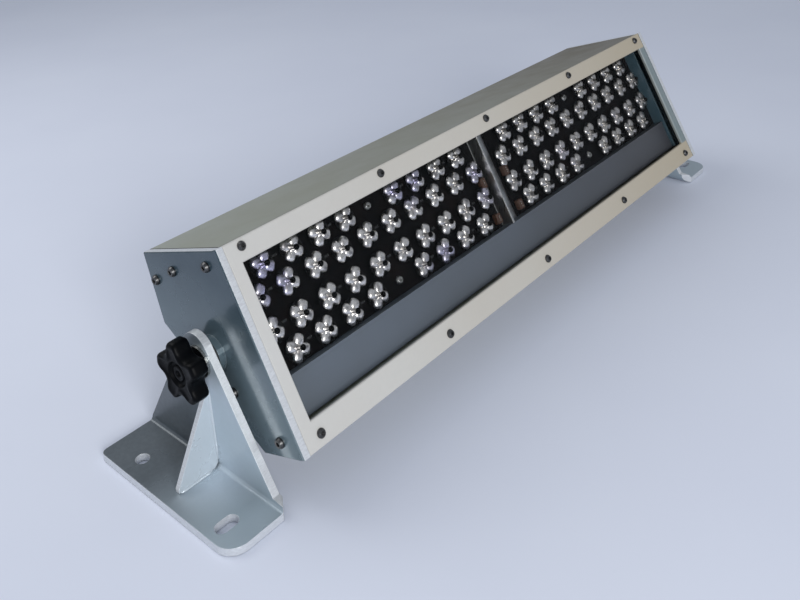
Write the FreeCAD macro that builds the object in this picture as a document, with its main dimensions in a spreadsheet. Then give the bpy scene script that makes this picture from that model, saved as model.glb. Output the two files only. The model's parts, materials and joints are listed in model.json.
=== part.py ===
import FreeCAD, Part
import math
import os
import re
import Sketcher

# LED flood light: a long head of 72 optics held at both ends by a foot bracket and a clamping knob.
# Millimetres and degrees. X runs along the head, the lit face looks towards -Y, Z is up.
# The origin lies on the mounting surface, midway between the rear bolt holes of the two feet.

# Driving sizes, one row each: name and value.
SIZES = [
    # The head's outline, seen from its end: the pivot axis, the lit face and the corners behind it.
    ("head_length", 604),
    ("front_height", 148.5),
    ("pivot_depth", 53),
    ("pivot_drop", 67.5),
    ("top_depth", 94),
    ("top_rise", 14),
    ("back_depth", 106),
    ("back_drop", 40),
    ("base_depth", 43),
    ("base_rise", 5.5),
    ("rest_tilt", 27.5),
    ("pivot_height", 90),
    ("pivot_setback", 4),
    # Clearances and the one overrun that every cut shares.
    ("face_gap", 0.05),
    ("run_clear", 0.05),
    ("seat_clear", 0.3),
    ("overrun", 1),
    # End plates and the bosses at the pivot.
    ("end_thick", 6),
    ("end_bevel", 0.8),
    ("end_seal_thick", 1),
    ("end_seal_width", 4),
    ("outer_boss_radius", 13),
    ("outer_boss_proud", 5),
    ("inner_boss_radius", 12),
    ("inner_boss_deep", 9),
    # Extruded housing with its fins, grooves and screw channels.
    ("wall", 3),
    ("fin_reach", 14),
    ("fin_thick", 2.5),
    ("fin_pitch", 12),
    ("fin_count", 8),
    ("flange_thick", 6),
    ("lip_width", 4),
    ("channel_radius", 4.5),
    ("web_thick", 3),
    ("groove_rib", 2),
    ("groove_deep", 3),
    # Bezel, its seal and the glass.
    ("bezel_thick", 3),
    ("bezel_top", 16),
    ("bezel_bottom", 19.2),
    ("bezel_side", 10.7),
    ("bezel_bevel", 0.8),
    ("seal_thick", 2.2),
    ("seal_setback", 1.2),
    ("glass_thick", 4),
    ("glass_overlap", 6),
    # Screws in the bezel: five along the top strip and five along the bottom strip.
    ("bezel_screw_count", 5),
    ("bezel_screw_inset", 20),
    ("bezel_screw_top", 5.6),
    ("bezel_screw_bottom", 8.3),
    ("bezel_screw_radius", 2),
    ("bezel_screw_length", 9.5),
    ("bezel_head_radius", 3.4),
    ("bezel_head_height", 2.3),
    ("bezel_socket_radius", 1.5),
    ("bezel_socket_deep", 1.4),
    # Screws in the end plates, each by its depth behind the lit face and its drop below the top.
    ("end_screw_radius", 2.5),
    ("end_screw_length", 22),
    ("end_head_radius", 3.9),
    ("end_head_height", 2.8),
    ("end_socket_radius", 1.8),
    ("end_socket_deep", 1.6),
    ("front_channel_depth", 18),
    ("front_channel_drop", 9),
    ("middle_channel_depth", 63),
    ("middle_channel_drop", 5.5),
    ("back_channel_depth", 90),
    ("back_channel_drop", 8),
    ("slope_channel_depth", 49),
    ("slope_channel_drop", 98),
    ("base_channel_depth", 18),
    ("base_channel_drop", 135),
    # LED modules: four rows of optics, the outer rows offset by half a pitch.
    ("lens_pitch", 28),
    ("lens_edge", 10.85),
    ("least_module_gap", 40),
    ("first_row_drop", 25.6),
    ("outer_row_step", 19.3),
    ("inner_row_step", 24.7),
    ("lens_radius", 10.5),
    ("lens_height", 6.5),
    ("cup_wall", 0.7),
    ("cup_rim", 1.5),
    ("lens_foot_radius", 4.4),
    ("lens_foot_gap", 0.3),
    ("lens_inset", 0.4),
    ("lens_well_radius", 2.8),
    ("lens_well_height", 3),
    ("lens_snout_radius", 2.3),
    ("lens_snout_height", 4),
    ("chip_size", 3.5),
    ("chip_height", 1.7),
    ("board_depth", 22),
    ("board_thick", 1.6),
    ("board_margin", 0.4),
    ("spreader_thick", 4),
    ("module_screw_radius", 1.5),
    ("module_screw_length", 5),
    ("module_head_radius", 3.4),
    ("module_head_height", 2.4),
    ("module_socket_radius", 1.3),
    ("module_socket_deep", 1.2),
    ("divider_thick", 2),
    ("divider_offset", 9),
    ("divider_depth", 10.5),
    # Flat cover below the optics and the walls of the recess.
    ("cover_depth", 12.5),
    ("cover_thick", 2),
    ("cover_lip", 0.8),
    ("cover_lip_width", 2),
    ("cover_overlap", 0.8),
    ("liner_thick", 1.5),
    ("liner_setback", 0.5),
    # Drivers and terminal block behind the heat spreader.
    ("driver_length", 160),
    ("driver_depth", 28),
    ("driver_height", 56),
    ("driver_centre", 150),
    ("driver_rise", 12),
    ("driver_ear", 12),
    ("driver_ear_thick", 3),
    ("driver_screw_spread", 40),
    ("driver_screw_radius", 2),
    ("driver_screw_length", 6.8),
    ("driver_head_radius", 3.6),
    ("driver_head_height", 2.4),
    ("driver_socket_radius", 1.3),
    ("driver_socket_deep", 1.2),
    ("terminal_length", 46),
    ("terminal_depth", 18),
    ("terminal_height", 22),
    ("terminal_ways", 5),
    ("terminal_pitch", 8.5),
    ("terminal_hole_radius", 1.8),
    ("terminal_hole_deep", 10),
    # Cable gland and breather plug on the back wall.
    ("gland_offset", 0),
    ("gland_drop", 37.5),
    ("gland_thread_radius", 8),
    ("gland_flange_radius", 12),
    ("gland_flange_height", 6),
    ("gland_neck_height", 9),
    ("gland_dome_radius", 10.5),
    ("gland_dome_height", 15),
    ("gland_dome_mouth", 7),
    ("gland_bore_radius", 4.5),
    ("gland_socket_radius", 6.5),
    ("gland_socket_deep", 8),
    ("gland_seal_bore", 3.5),
    ("locknut_radius", 12.7),
    ("locknut_height", 5),
    ("thread_tail", 2),
    ("vent_offset", 120),
    ("vent_thread_radius", 6),
    ("vent_tail", 6),
    ("vent_head_radius", 9),
    ("vent_head_height", 5),
    ("vent_bevel", 1.5),
    # Foot brackets with their gussets.
    ("bracket_thick", 6),
    ("foot_front_margin", 22.5),
    ("foot_rear_margin", 31),
    ("foot_width", 52),
    ("foot_front_corner", 15),
    ("foot_rear_corner", 5),
    ("bend_radius", 3),
    ("crown_radius", 14),
    ("crown_shift", 3.5),
    ("crown_rise", 6),
    ("shoulder_inset", 10.8),
    ("shoulder_rise", 1.5),
    ("corner_length", 8),
    ("corner_width", 7),
    ("gusset_length", 34.5),
    ("gusset_height", 67),
    ("gusset_nose", 3),
    ("gusset_thick", 4),
    ("hole_radius", 5.25),
    ("hole_inset", 15.5),
    ("hole_spacing", 96),
    ("slot_length", 18),
    # Friction disc, pivot stud, washer and star knob.
    ("disc_thick", 2),
    ("disc_radius", 12.5),
    ("stud_radius", 5),
    ("stud_tip_gap", 0.5),
    ("washer_thick", 2),
    ("washer_radius", 12),
    ("hub_radius", 11),
    ("hub_height", 5),
    ("knob_radius", 23),
    ("knob_height", 13),
    ("knob_lobes", 5),
    ("scallop_radius", 10),
    ("scallop_reach", 26),
    ("knob_round", 1.5),
    ("insert_radius", 7),
    ("insert_length", 14),
]

# Sizes and places worked out from the driving ones. Those of the head are in its own frame, where Z
# is up along the lit face and Y runs back from it, both measured from the pivot axis.
DERIVED = [
    ("foot_y", "-hole_spacing / 2"),
    ("foot_front_y", "-hole_spacing - foot_front_margin"),
    ("foot_rear_y", "foot_rear_margin"),
    ("pivot_y", "foot_y + pivot_setback"),
    ("head_half", "head_length / 2"),
    ("bezel_half", "head_half - end_thick"),
    ("body_half", "bezel_half - end_seal_thick"),
    ("front_y", "-pivot_depth"),
    ("seal_y", "front_y + bezel_thick"),
    ("flange_y", "seal_y + seal_thick"),
    ("glass_back_y", "flange_y + glass_thick"),
    ("lip_y", "flange_y + flange_thick"),
    ("bezel_screw_pitch", "(head_length - 2 * bezel_screw_inset) / (bezel_screw_count - 1)"),
    ("top_z", "pivot_drop"),
    ("bottom_z", "pivot_drop - front_height"),
    ("open_top_z", "top_z - bezel_top"),
    ("open_bottom_z", "bottom_z + bezel_bottom"),
    ("open_half", "bezel_half - bezel_side"),
    ("glass_half", "open_half + glass_overlap"),
    ("glass_top_z", "open_top_z + glass_overlap"),
    ("glass_bottom_z", "open_bottom_z - glass_overlap"),
    ("back_top_y", "front_y + top_depth"),
    ("back_top_z", "top_z + top_rise"),
    ("back_mid_y", "front_y + back_depth"),
    ("back_mid_z", "top_z - back_drop"),
    ("base_y", "front_y + base_depth"),
    ("base_z", "bottom_z + base_rise"),
    ("top_slope", "top_rise / (back_top_y - flange_y)"),
    ("base_slope", "base_rise / (base_y - flange_y)"),
    ("back_slope", "(back_mid_y - back_top_y) / (back_top_z - back_mid_z)"),
    ("tip_slope", "(back_mid_y - base_y) / (back_mid_z - base_z)"),
    ("board_y", "front_y + board_depth"),
    ("spreader_y", "board_y + board_thick"),
    ("spreader_back_y", "spreader_y + spreader_thick"),
    ("fin_root_y", "back_mid_y - fin_reach"),
    ("fin_foot_y", "spreader_back_y + wall"),
    ("fin_foot_z", "bottom_z + (fin_foot_y - flange_y) * base_slope"),
    ("root_slope", "(fin_root_y - fin_foot_y) / (back_mid_z - fin_foot_z)"),
    ("groove_top_z", "top_z + (spreader_y - flange_y) * top_slope - wall / cos(atan(top_slope))"),
    ("groove_bottom_z",
     "bottom_z + (spreader_back_y - flange_y) * base_slope + wall / cos(atan(base_slope))"),
    ("spreader_top_z", "groove_top_z - seat_clear"),
    ("spreader_bottom_z", "groove_bottom_z + seat_clear"),
    ("row_one_z", "top_z - first_row_drop"),
    ("row_two_z", "row_one_z - outer_row_step"),
    ("row_three_z", "row_two_z - inner_row_step"),
    ("row_four_z", "row_three_z - outer_row_step"),
    ("inner_row_lenses", "floor((open_half - lens_edge - least_module_gap / 2) / lens_pitch) + 1"),
    ("row_half", "lens_pitch * (inner_row_lenses - 1) / 2"),
    ("module_x", "open_half - lens_edge - row_half"),
    ("board_half", "row_half + lens_radius + board_margin"),
    ("board_top_z", "row_one_z + lens_radius + board_margin"),
    ("board_bottom_z", "row_four_z - lens_radius - board_margin"),
    ("cover_y", "front_y + cover_depth"),
    ("cover_half", "open_half - seat_clear"),
    ("cover_top_z", "board_bottom_z - seat_clear"),
    ("cover_bottom_z", "open_bottom_z - cover_overlap"),
    ("liner_x", "open_half + liner_setback"),
    ("spreader_half", "liner_x + liner_thick + wall"),
    ("slant", "atan(back_slope) / 1 deg"),
    ("gland_z", "back_top_z - gland_drop"),
    ("gland_y", "back_top_y + gland_drop * back_slope"),
    ("terminal_z", "gland_z - (gland_y - spreader_back_y - terminal_depth) * back_slope"),
    ("driver_screw_x", "driver_length / 2 + driver_ear / 2"),
    ("dome_top", "gland_flange_height + gland_dome_height"),
    ("boss_out", "head_half + outer_boss_proud"),
    ("boss_in", "bezel_half - inner_boss_deep"),
    ("upright_in", "boss_out + disc_thick"),
    ("upright_out", "upright_in + bracket_thick"),
    ("foot_out", "upright_in + foot_width"),
    ("hole_x", "foot_out - hole_inset"),
    ("bend_rise", "bend_radius + bracket_thick"),
    ("washer_out", "upright_out + washer_thick"),
    ("knob_base", "washer_out + hub_height"),
    ("stud_tip", "washer_out + insert_length - stud_tip_gap"),
]

SIZE_NAMES = {name for name, number in SIZES}
DERIVED_NAMES = {name for name, formula in DERIVED}
CHANNELS = ("front", "middle", "back", "slope", "base")
SIDES = (("left", -1), ("right", 1))

doc = FreeCAD.newDocument("FloodLight")
sizes = doc.addObject("Spreadsheet::Sheet", "Sizes")
derived = doc.addObject("Spreadsheet::Sheet", "Derived")
parts = []


def full(formula):
    # Puts the sheet's name before each size that the formula names.
    def named(match):
        word = match.group(0)
        if word in SIZE_NAMES:
            return "Sizes." + word
        if word in DERIVED_NAMES:
            return "Derived." + word
        return word
    return re.sub(r"[a-z]+(_[a-z]+)*", named, formula)


def fill_sheets():
    for row, (name, number) in enumerate(SIZES, 1):
        sizes.set(f"A{row}", name)
        sizes.set(f"B{row}", str(number))
        sizes.setAlias(f"B{row}", name)
    doc.recompute()
    for row, (name, formula) in enumerate(DERIVED, 1):
        derived.set(f"A{row}", name)
        derived.setAlias(f"B{row}", name)
        derived.set(f"B{row}", "=" + full(formula))
    doc.recompute()


def value(formula):
    # Works out a size or a formula of sizes as a plain number.
    return float(sizes.evalExpression(full(formula)))


def bind(thing, prop, formula):
    thing.setExpression(prop, full(formula))


def keep(thing, label):
    thing.Label = label
    parts.append(thing)
    return thing


def tilt_with_head(thing):
    # Turns a piece drawn in the head's own frame back by the rest tilt, about the raised pivot axis.
    thing.Placement = FreeCAD.Placement(
        FreeCAD.Vector(0, 0, 0), FreeCAD.Rotation(FreeCAD.Vector(-1, 0, 0), value("rest_tilt")))
    bind(thing, "Placement.Base.y", "pivot_y")
    bind(thing, "Placement.Base.z", "pivot_height")
    bind(thing, "Placement.Rotation.Angle", "rest_tilt * 1 deg")


def stand_on_back(thing, x_formula):
    # Stands a piece, drawn about its own Z axis, on the slanted back wall of the tilted head.
    thing.Placement = FreeCAD.Placement(
        FreeCAD.Vector(0, 0, 0),
        FreeCAD.Rotation(FreeCAD.Vector(-1, 0, 0), value("90 + rest_tilt - slant")))
    bind(thing, "Placement.Rotation.Angle", "(90 + rest_tilt - slant) * 1 deg")
    bind(thing, "Placement.Base.x", x_formula)
    bind(thing, "Placement.Base.y",
         "pivot_y + gland_y * cos(rest_tilt * 1 deg) + gland_z * sin(rest_tilt * 1 deg)")
    bind(thing, "Placement.Base.z",
         "pivot_height + gland_z * cos(rest_tilt * 1 deg) - gland_y * sin(rest_tilt * 1 deg)")


def new_body(label):
    return keep(doc.addObject("PartDesign::Body", label), label)


def new_sketch(body, role, offset="0"):
    # Opens a sketch on one of the body's origin planes, moved along the plane's normal.
    plane = next(item for item in body.Origin.OriginFeatures if item.Role == role)
    sketch = body.newObject("Sketcher::SketchObject", body.Name + "_sketch")
    sketch.AttachmentSupport = [(plane, "")]
    sketch.MapMode = "FlatFace"
    bind(sketch, "AttachmentOffset.Base.z", offset)
    return sketch


def fix_point(sketch, geometry, position, across, upward):
    # Ties one point of the sketch to two formulas, measured from the sketch's origin.
    point = sketch.getPoint(geometry, position)
    for kind, now, formula in (("DistanceX", point.x, across), ("DistanceY", point.y, upward)):
        index = sketch.addConstraint(Sketcher.Constraint(kind, -1, 1, geometry, position, now))
        bind(sketch, f"Constraints[{index}]", formula)


def fix_radius(sketch, geometry, radius):
    index = sketch.addConstraint(Sketcher.Constraint("Radius", geometry, value(radius)))
    bind(sketch, f"Constraints[{index}]", radius)


def draw_polygon(sketch, corners):
    start = sketch.GeometryCount
    places = [FreeCAD.Vector(value(across), value(upward), 0) for across, upward in corners]
    count = len(corners)
    for index in range(count):
        sketch.addGeometry(Part.LineSegment(places[index], places[(index + 1) % count]))
    for index in range(count):
        following = start + (index + 1) % count
        sketch.addConstraint(Sketcher.Constraint("Coincident", start + index, 2, following, 1))
    for index, (across, upward) in enumerate(corners):
        fix_point(sketch, start + index, 1, across, upward)


def draw_rectangle(sketch, left, right, low, high):
    draw_polygon(sketch, [(left, low), (right, low), (right, high), (left, high)])


def draw_circle(sketch, across, upward, radius):
    centre = FreeCAD.Vector(value(across), value(upward), 0)
    circle = sketch.addGeometry(Part.Circle(centre, FreeCAD.Vector(0, 0, 1), value(radius)))
    fix_point(sketch, circle, 3, across, upward)
    fix_radius(sketch, circle, radius)


def draw_hexagon(sketch, radius):
    # A hexagon round the sketch's origin, with its corners at the given radius.
    draw_polygon(sketch, [(f"({radius}) * cos({60 * step} deg)", f"({radius}) * sin({60 * step} deg)")
                          for step in range(6)])


def draw_slot(sketch, across, upward, length, radius):
    # A slot along the sketch's first axis: two half circles joined by two tangent lines.
    middle = FreeCAD.Vector(value(across), value(upward), 0)
    rise = FreeCAD.Vector(0, value(radius), 0)
    reach = FreeCAD.Vector(value(f"{length} / 2 - {radius}"), 0, 0)
    arcs = []
    for centre, turn in ((middle - reach, math.pi / 2), (middle + reach, -math.pi / 2)):
        circle = Part.Circle(centre, FreeCAD.Vector(0, 0, 1), value(radius))
        arcs.append(sketch.addGeometry(Part.ArcOfCircle(circle, turn, turn + math.pi)))
    lower = sketch.addGeometry(Part.LineSegment(middle - reach - rise, middle + reach - rise))
    upper = sketch.addGeometry(Part.LineSegment(middle + reach + rise, middle - reach + rise))
    for first, second in ((arcs[0], lower), (lower, arcs[1]), (arcs[1], upper), (upper, arcs[0])):
        sketch.addConstraint(Sketcher.Constraint("Tangent", first, 2, second, 1))
    for sign, arc in zip("-+", arcs):
        fix_point(sketch, arc, 3, f"{across} {sign} ({length} / 2 - {radius})", upward)
    fix_radius(sketch, arcs[0], radius)


def pad(body, sketch, length, symmetric=False, backward=False):
    feature = body.newObject("PartDesign::Pad", body.Name + "_pad")
    feature.Profile = sketch
    feature.SideType = "Symmetric" if symmetric else "One side"
    feature.Reversed = backward
    bind(feature, "Length", length)
    doc.recompute()
    return feature


def cut_both_ways(body, sketch, reach):
    # Cuts the sketch out on both sides of its plane, and makes sure that material went away.
    before = body.Shape.Volume
    feature = body.newObject("PartDesign::Pocket", body.Name + "_cut")
    feature.Profile = sketch
    feature.SideType = "Symmetric"
    bind(feature, "Length", f"2 * ({reach} + overrun)")
    doc.recompute()
    if body.Shape.Volume >= before:
        raise RuntimeError("a cut in " + body.Label + " removes nothing")
    return feature


def turn_about(body, axis, corners):
    # Turns a closed outline about the sketch's own axis: "H_Axis" is X and "V_Axis" is Z.
    sketch = new_sketch(body, "XZ_Plane")
    draw_polygon(sketch, corners)
    feature = body.newObject("PartDesign::Revolution", body.Name + "_turn")
    feature.Profile = sketch
    feature.ReferenceAxis = (sketch, [axis])
    doc.recompute()
    return feature


def dress(body, kind, base, edges, prop, size):
    # Rounds or bevels the named edges of the base feature.
    feature = body.newObject("PartDesign::" + kind, body.Name + "_" + kind)
    feature.Base = (base, edges)
    bind(feature, prop, size)
    doc.recompute()
    return feature


def edges_where(shape, test):
    return [f"Edge{index}" for index, edge in enumerate(shape.Edges, 1) if test(edge)]


def same(first, second):
    return math.isclose(first, second, rel_tol=1e-6)


def level(edge, axis, place):
    # Tells whether all of an edge lies at one place along an axis: 0 is X, 1 is Y and 2 is Z.
    box = edge.BoundBox
    low = (box.XMin, box.YMin, box.ZMin)[axis]
    high = (box.XMax, box.YMax, box.ZMax)[axis]
    return same(low, place) and same(high, place)


def signed(side, formula):
    return f"({side}) * ({formula})"


def plate(label, front, thick, draw):
    # A flat piece parallel to the lit face, from its front face backward.
    body = new_body(label)
    sketch = new_sketch(body, "XZ_Plane", f"-({front})")
    draw(sketch)
    pad(body, sketch, thick, backward=True)
    tilt_with_head(body)
    return body


def copies(label, shape, places):
    # One node of equal separate pieces, one at each place of the head's own frame.
    node = keep(doc.addObject("Part::Feature", label), label)
    node.Shape = Part.makeCompound([shape.translated(place) for place in places])
    tilt_with_head(node)


def turned_shape(corners):
    # A solid turned about Z from a closed outline of (radius, height) corners.
    points = [FreeCAD.Vector(radius, 0, height) for radius, height in corners + corners[:1]]
    return Part.Face(Part.makePolygon(points)).revolve(FreeCAD.Vector(), FreeCAD.Vector(0, 0, 1), 360)


def socket_screw(name, direction):
    # A button head screw: the head's seat at the origin, the head towards the direction.
    radius = value(f"{name}_screw_radius")
    length = value(f"{name}_screw_length")
    head_radius = value(f"{name}_head_radius")
    head_height = value(f"{name}_head_height")
    socket_radius = value(f"{name}_socket_radius")
    socket_deep = value(f"{name}_socket_deep")
    floor = head_height - socket_deep
    screw = turned_shape([(0, -length), (radius, -length), (radius, 0), (head_radius, 0),
                          (head_radius, floor), (socket_radius + floor, head_height), (0, head_height)])
    corners = [FreeCAD.Vector(socket_radius * math.cos(step * math.pi / 3),
                              socket_radius * math.sin(step * math.pi / 3), floor) for step in range(7)]
    socket = Part.Face(Part.makePolygon(corners)).extrude(FreeCAD.Vector(0, 0, head_height))
    screw = screw.cut(socket)
    turn = FreeCAD.Rotation(FreeCAD.Vector(0, 0, 1), direction)
    screw.rotate(FreeCAD.Vector(), turn.Axis, math.degrees(turn.Angle))
    return screw


# The housing: a shell open to the front and at both ends, drawn as its section.

def draw_section(sketch, stepped):
    # The section behind the bezel. The housing steps in to the roots of its fins; the end plates
    # cover the fins as well.
    corners = [("flange_y", "bottom_z"), ("flange_y", "top_z"), ("back_top_y", "back_top_z"),
               ("back_mid_y", "back_mid_z")]
    if stepped:
        corners += [("fin_root_y", "back_mid_z"), ("fin_foot_y", "fin_foot_z")]
    else:
        corners += [("base_y", "base_z")]
    draw_polygon(sketch, corners)


def hollow(body, base, open_faces, thick):
    shell = body.newObject("PartDesign::Thickness", body.Name + "_shell")
    shell.Base = (base, open_faces)
    shell.Reversed = True
    shell.Join = 1
    bind(shell, "Value", thick)
    doc.recompute()
    return shell


def faces_across(shape, axis):
    # Names the flat faces of a shape whose normal lies along the axis.
    names = []
    for index, face in enumerate(shape.Faces, 1):
        if face.Surface.TypeId == "Part::GeomPlane" and same(abs(face.normalAt(0, 0).dot(axis)), 1):
            names.append(f"Face{index}")
    return names


def front_face(shape):
    # Names the face that lies nearest to the front.
    depths = [face.CenterOfMass.y for face in shape.Faces]
    return f"Face{depths.index(min(depths)) + 1}"


def along_housing(body, draw, *details):
    # Adds one more shape of the section over the housing's whole length.
    sketch = new_sketch(body, "YZ_Plane")
    draw(sketch, *details)
    pad(body, sketch, "2 * body_half", symmetric=True)


def draw_upper_flange(sketch):
    draw_polygon(sketch, [("flange_y", "glass_top_z + seat_clear"), ("flange_y", "top_z"),
                          ("lip_y", "top_z"), ("lip_y", "glass_top_z - lip_width"),
                          ("glass_back_y", "glass_top_z - lip_width"),
                          ("glass_back_y", "glass_top_z + seat_clear")])


def draw_lower_flange(sketch):
    draw_polygon(sketch, [("flange_y", "glass_bottom_z - seat_clear"), ("flange_y", "bottom_z"),
                          ("lip_y", "bottom_z + flange_thick * base_slope"),
                          ("lip_y", "glass_bottom_z + lip_width"),
                          ("glass_back_y", "glass_bottom_z + lip_width"),
                          ("glass_back_y", "glass_bottom_z - seat_clear")])


def draw_groove_ribs(sketch):
    # Two ribs above and two below hold the edges of the heat spreader.
    for near, far in (("spreader_y - groove_rib", "spreader_y"),
                      ("spreader_back_y", "spreader_back_y + groove_rib")):
        draw_rectangle(sketch, near, far, "groove_top_z - groove_deep", "groove_top_z + wall / 2")
        draw_rectangle(sketch, near, far, "groove_bottom_z - wall / 2", "groove_bottom_z + groove_deep")


def channel_y(name):
    return f"(front_y + {name}_channel_depth)"


def channel_z(name):
    return f"(top_z - {name}_channel_drop)"


def draw_channels(sketch, radius):
    for name in CHANNELS:
        draw_circle(sketch, channel_y(name), channel_z(name), radius)


def draw_webs(sketch):
    # Webs tie the screw channels to the walls: upward, downward and backward.
    for name in ("front", "middle"):
        roof = f"top_z + ({channel_y(name)} - flange_y) * top_slope - wall / 2"
        draw_rectangle(sketch, f"{channel_y(name)} - web_thick / 2", f"{channel_y(name)} + web_thick / 2",
                       channel_z(name), roof)
    floor = f"bottom_z + ({channel_y('base')} - flange_y) * base_slope + wall / 2"
    draw_rectangle(sketch, f"{channel_y('base')} - web_thick / 2", f"{channel_y('base')} + web_thick / 2",
                   floor, channel_z("base"))
    backs = (("back", f"back_top_y + (back_top_z - {channel_z('back')}) * back_slope - wall / 2"),
             ("slope", f"fin_root_y - (back_mid_z - {channel_z('slope')}) * root_slope - wall / 2"))
    for name, back in backs:
        draw_rectangle(sketch, channel_y(name), back,
                       f"{channel_z(name)} - web_thick / 2", f"{channel_z(name)} + web_thick / 2")


def draw_fin(sketch, number):
    # Fins reach from inside the wall to the slanted line that the end plates also follow.
    drop = f"{number} * fin_pitch"
    draw_rectangle(sketch, f"fin_root_y - {drop} * root_slope - wall / 2",
                   f"back_mid_y - ({drop} + fin_thick / 2) * tip_slope",
                   f"back_mid_z - {drop} - fin_thick / 2", f"back_mid_z - {drop} + fin_thick / 2")


def draw_base_fin(sketch):
    # The lowest fin carries the bottom wall on to the corner of the end plates.
    draw_polygon(sketch, [("fin_foot_y - wall", "fin_foot_z - wall * base_slope"), ("base_y", "base_z"),
                          ("base_y", "base_z + fin_thick"),
                          ("fin_foot_y - wall", "fin_foot_z - wall * base_slope + fin_thick")])


def bezel_screw_places():
    # The (x, z) formulas of the bezel's screws, in both strips.
    count = int(value("bezel_screw_count"))
    for height in ("top_z - bezel_screw_top", "bottom_z + bezel_screw_bottom"):
        for index in range(count):
            yield f"({index} - (bezel_screw_count - 1) / 2) * bezel_screw_pitch", height


def build_housing():
    body = new_body("housing_extrusion")
    sketch = new_sketch(body, "YZ_Plane")
    draw_section(sketch, stepped=True)
    block = pad(body, sketch, "2 * body_half", symmetric=True)
    ends = faces_across(block.Shape, FreeCAD.Vector(1, 0, 0))
    hollow(body, block, ends + [front_face(block.Shape)], "wall")
    along_housing(body, draw_upper_flange)
    along_housing(body, draw_lower_flange)
    along_housing(body, draw_groove_ribs)
    along_housing(body, draw_channels, "channel_radius")
    along_housing(body, draw_webs)
    for number in range(1, int(value("fin_count")) + 1):
        along_housing(body, draw_fin, number)
    along_housing(body, draw_base_fin)
    cut_housing(body)
    tilt_with_head(body)


def cut_housing(body):
    # Screw channels, tapped holes behind the bezel, and the holes of the gland and the breather.
    channels = new_sketch(body, "YZ_Plane")
    draw_channels(channels, "end_screw_radius + run_clear")
    cut_both_ways(body, channels, "body_half")
    tapped = new_sketch(body, "XZ_Plane", "-flange_y")
    for across, upward in bezel_screw_places():
        draw_circle(tapped, across, upward, "bezel_screw_radius + run_clear")
    cut_both_ways(body, tapped, "flange_thick")
    for across, radius in (("gland_offset", "gland_thread_radius"), ("vent_offset", "vent_thread_radius")):
        hole = new_sketch(body, "XZ_Plane", "0")
        # The sketch stands on the slanted back wall, turned by its slant about X.
        hole.AttachmentOffset = FreeCAD.Placement(
            FreeCAD.Vector(0, 0, 0), FreeCAD.Rotation(FreeCAD.Vector(1, 0, 0), value("slant")))
        bind(hole, "AttachmentOffset.Rotation.Angle", "slant * 1 deg")
        bind(hole, "AttachmentOffset.Base.y", "gland_z")
        bind(hole, "AttachmentOffset.Base.z", "-gland_y")
        draw_circle(hole, across, "0", f"{radius} + seat_clear")
        cut_both_ways(body, hole, "wall")


# The end plates, their seals and screws.

def end_sketch(body, side, place):
    return new_sketch(body, "YZ_Plane", signed(side, place))


def build_end_plate(label, side):
    body = new_body(label)
    outline = end_sketch(body, side, "bezel_half")
    draw_polygon(outline, [("front_y", "bottom_z"), ("front_y", "top_z"), ("flange_y", "top_z"),
                           ("back_top_y", "back_top_z"), ("back_mid_y", "back_mid_z"),
                           ("base_y", "base_z"), ("flange_y", "bottom_z")])
    sheet = pad(body, outline, "end_thick", backward=side < 0)
    rim = edges_where(sheet.Shape, lambda edge: level(edge, 0, side * value("head_half")))
    dress(body, "Chamfer", sheet, rim, "Size", "end_bevel")
    outer = end_sketch(body, side, "bezel_half")
    draw_circle(outer, "0", "0", "outer_boss_radius")
    pad(body, outer, "end_thick + outer_boss_proud", backward=side < 0)
    inner = end_sketch(body, side, "boss_in")
    draw_circle(inner, "0", "0", "inner_boss_radius")
    pad(body, inner, "inner_boss_deep + end_thick", backward=side < 0)
    holes = end_sketch(body, side, "bezel_half")
    draw_circle(holes, "0", "0", "stud_radius + run_clear")
    draw_channels(holes, "end_screw_radius + seat_clear")
    cut_both_ways(body, holes, "end_thick + outer_boss_proud")
    tilt_with_head(body)


def build_end_seal(label, side):
    body = new_body(label)
    outline = end_sketch(body, side, "body_half")
    draw_section(outline, stepped=True)
    sheet = pad(body, outline, "end_seal_thick", backward=side < 0)
    hollow(body, sheet, faces_across(sheet.Shape, FreeCAD.Vector(1, 0, 0)), "end_seal_width")
    tilt_with_head(body)


def build_end_screws():
    node = keep(doc.addObject("Part::Feature", "end_plate_screws"), "end_plate_screws")
    screws = []
    for name, side in SIDES:
        screw = socket_screw("end", FreeCAD.Vector(side, 0, 0))
        for channel in CHANNELS:
            place = FreeCAD.Vector(side * value("head_half"), value(channel_y(channel)),
                                   value(channel_z(channel)))
            screws.append(screw.translated(place))
    node.Shape = Part.makeCompound(screws)
    tilt_with_head(node)


# The bezel with its seal, its screws and the glass.

def draw_frame(sketch, half, low, high, inner_half, inner_low, inner_high):
    draw_rectangle(sketch, f"-({half})", half, low, high)
    draw_rectangle(sketch, f"-({inner_half})", inner_half, inner_low, inner_high)


def draw_bezel(sketch):
    draw_frame(sketch, "bezel_half", "bottom_z", "top_z", "open_half", "open_bottom_z", "open_top_z")
    for across, upward in bezel_screw_places():
        draw_circle(sketch, across, upward, "bezel_screw_radius + seat_clear")


def draw_seal(sketch):
    draw_frame(sketch, "bezel_half - seal_setback", "bottom_z + seal_setback", "top_z - seal_setback",
               "open_half + seal_setback", "open_bottom_z - seal_setback", "open_top_z + seal_setback")
    for across, upward in bezel_screw_places():
        draw_circle(sketch, across, upward, "bezel_screw_radius + seat_clear")


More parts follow.
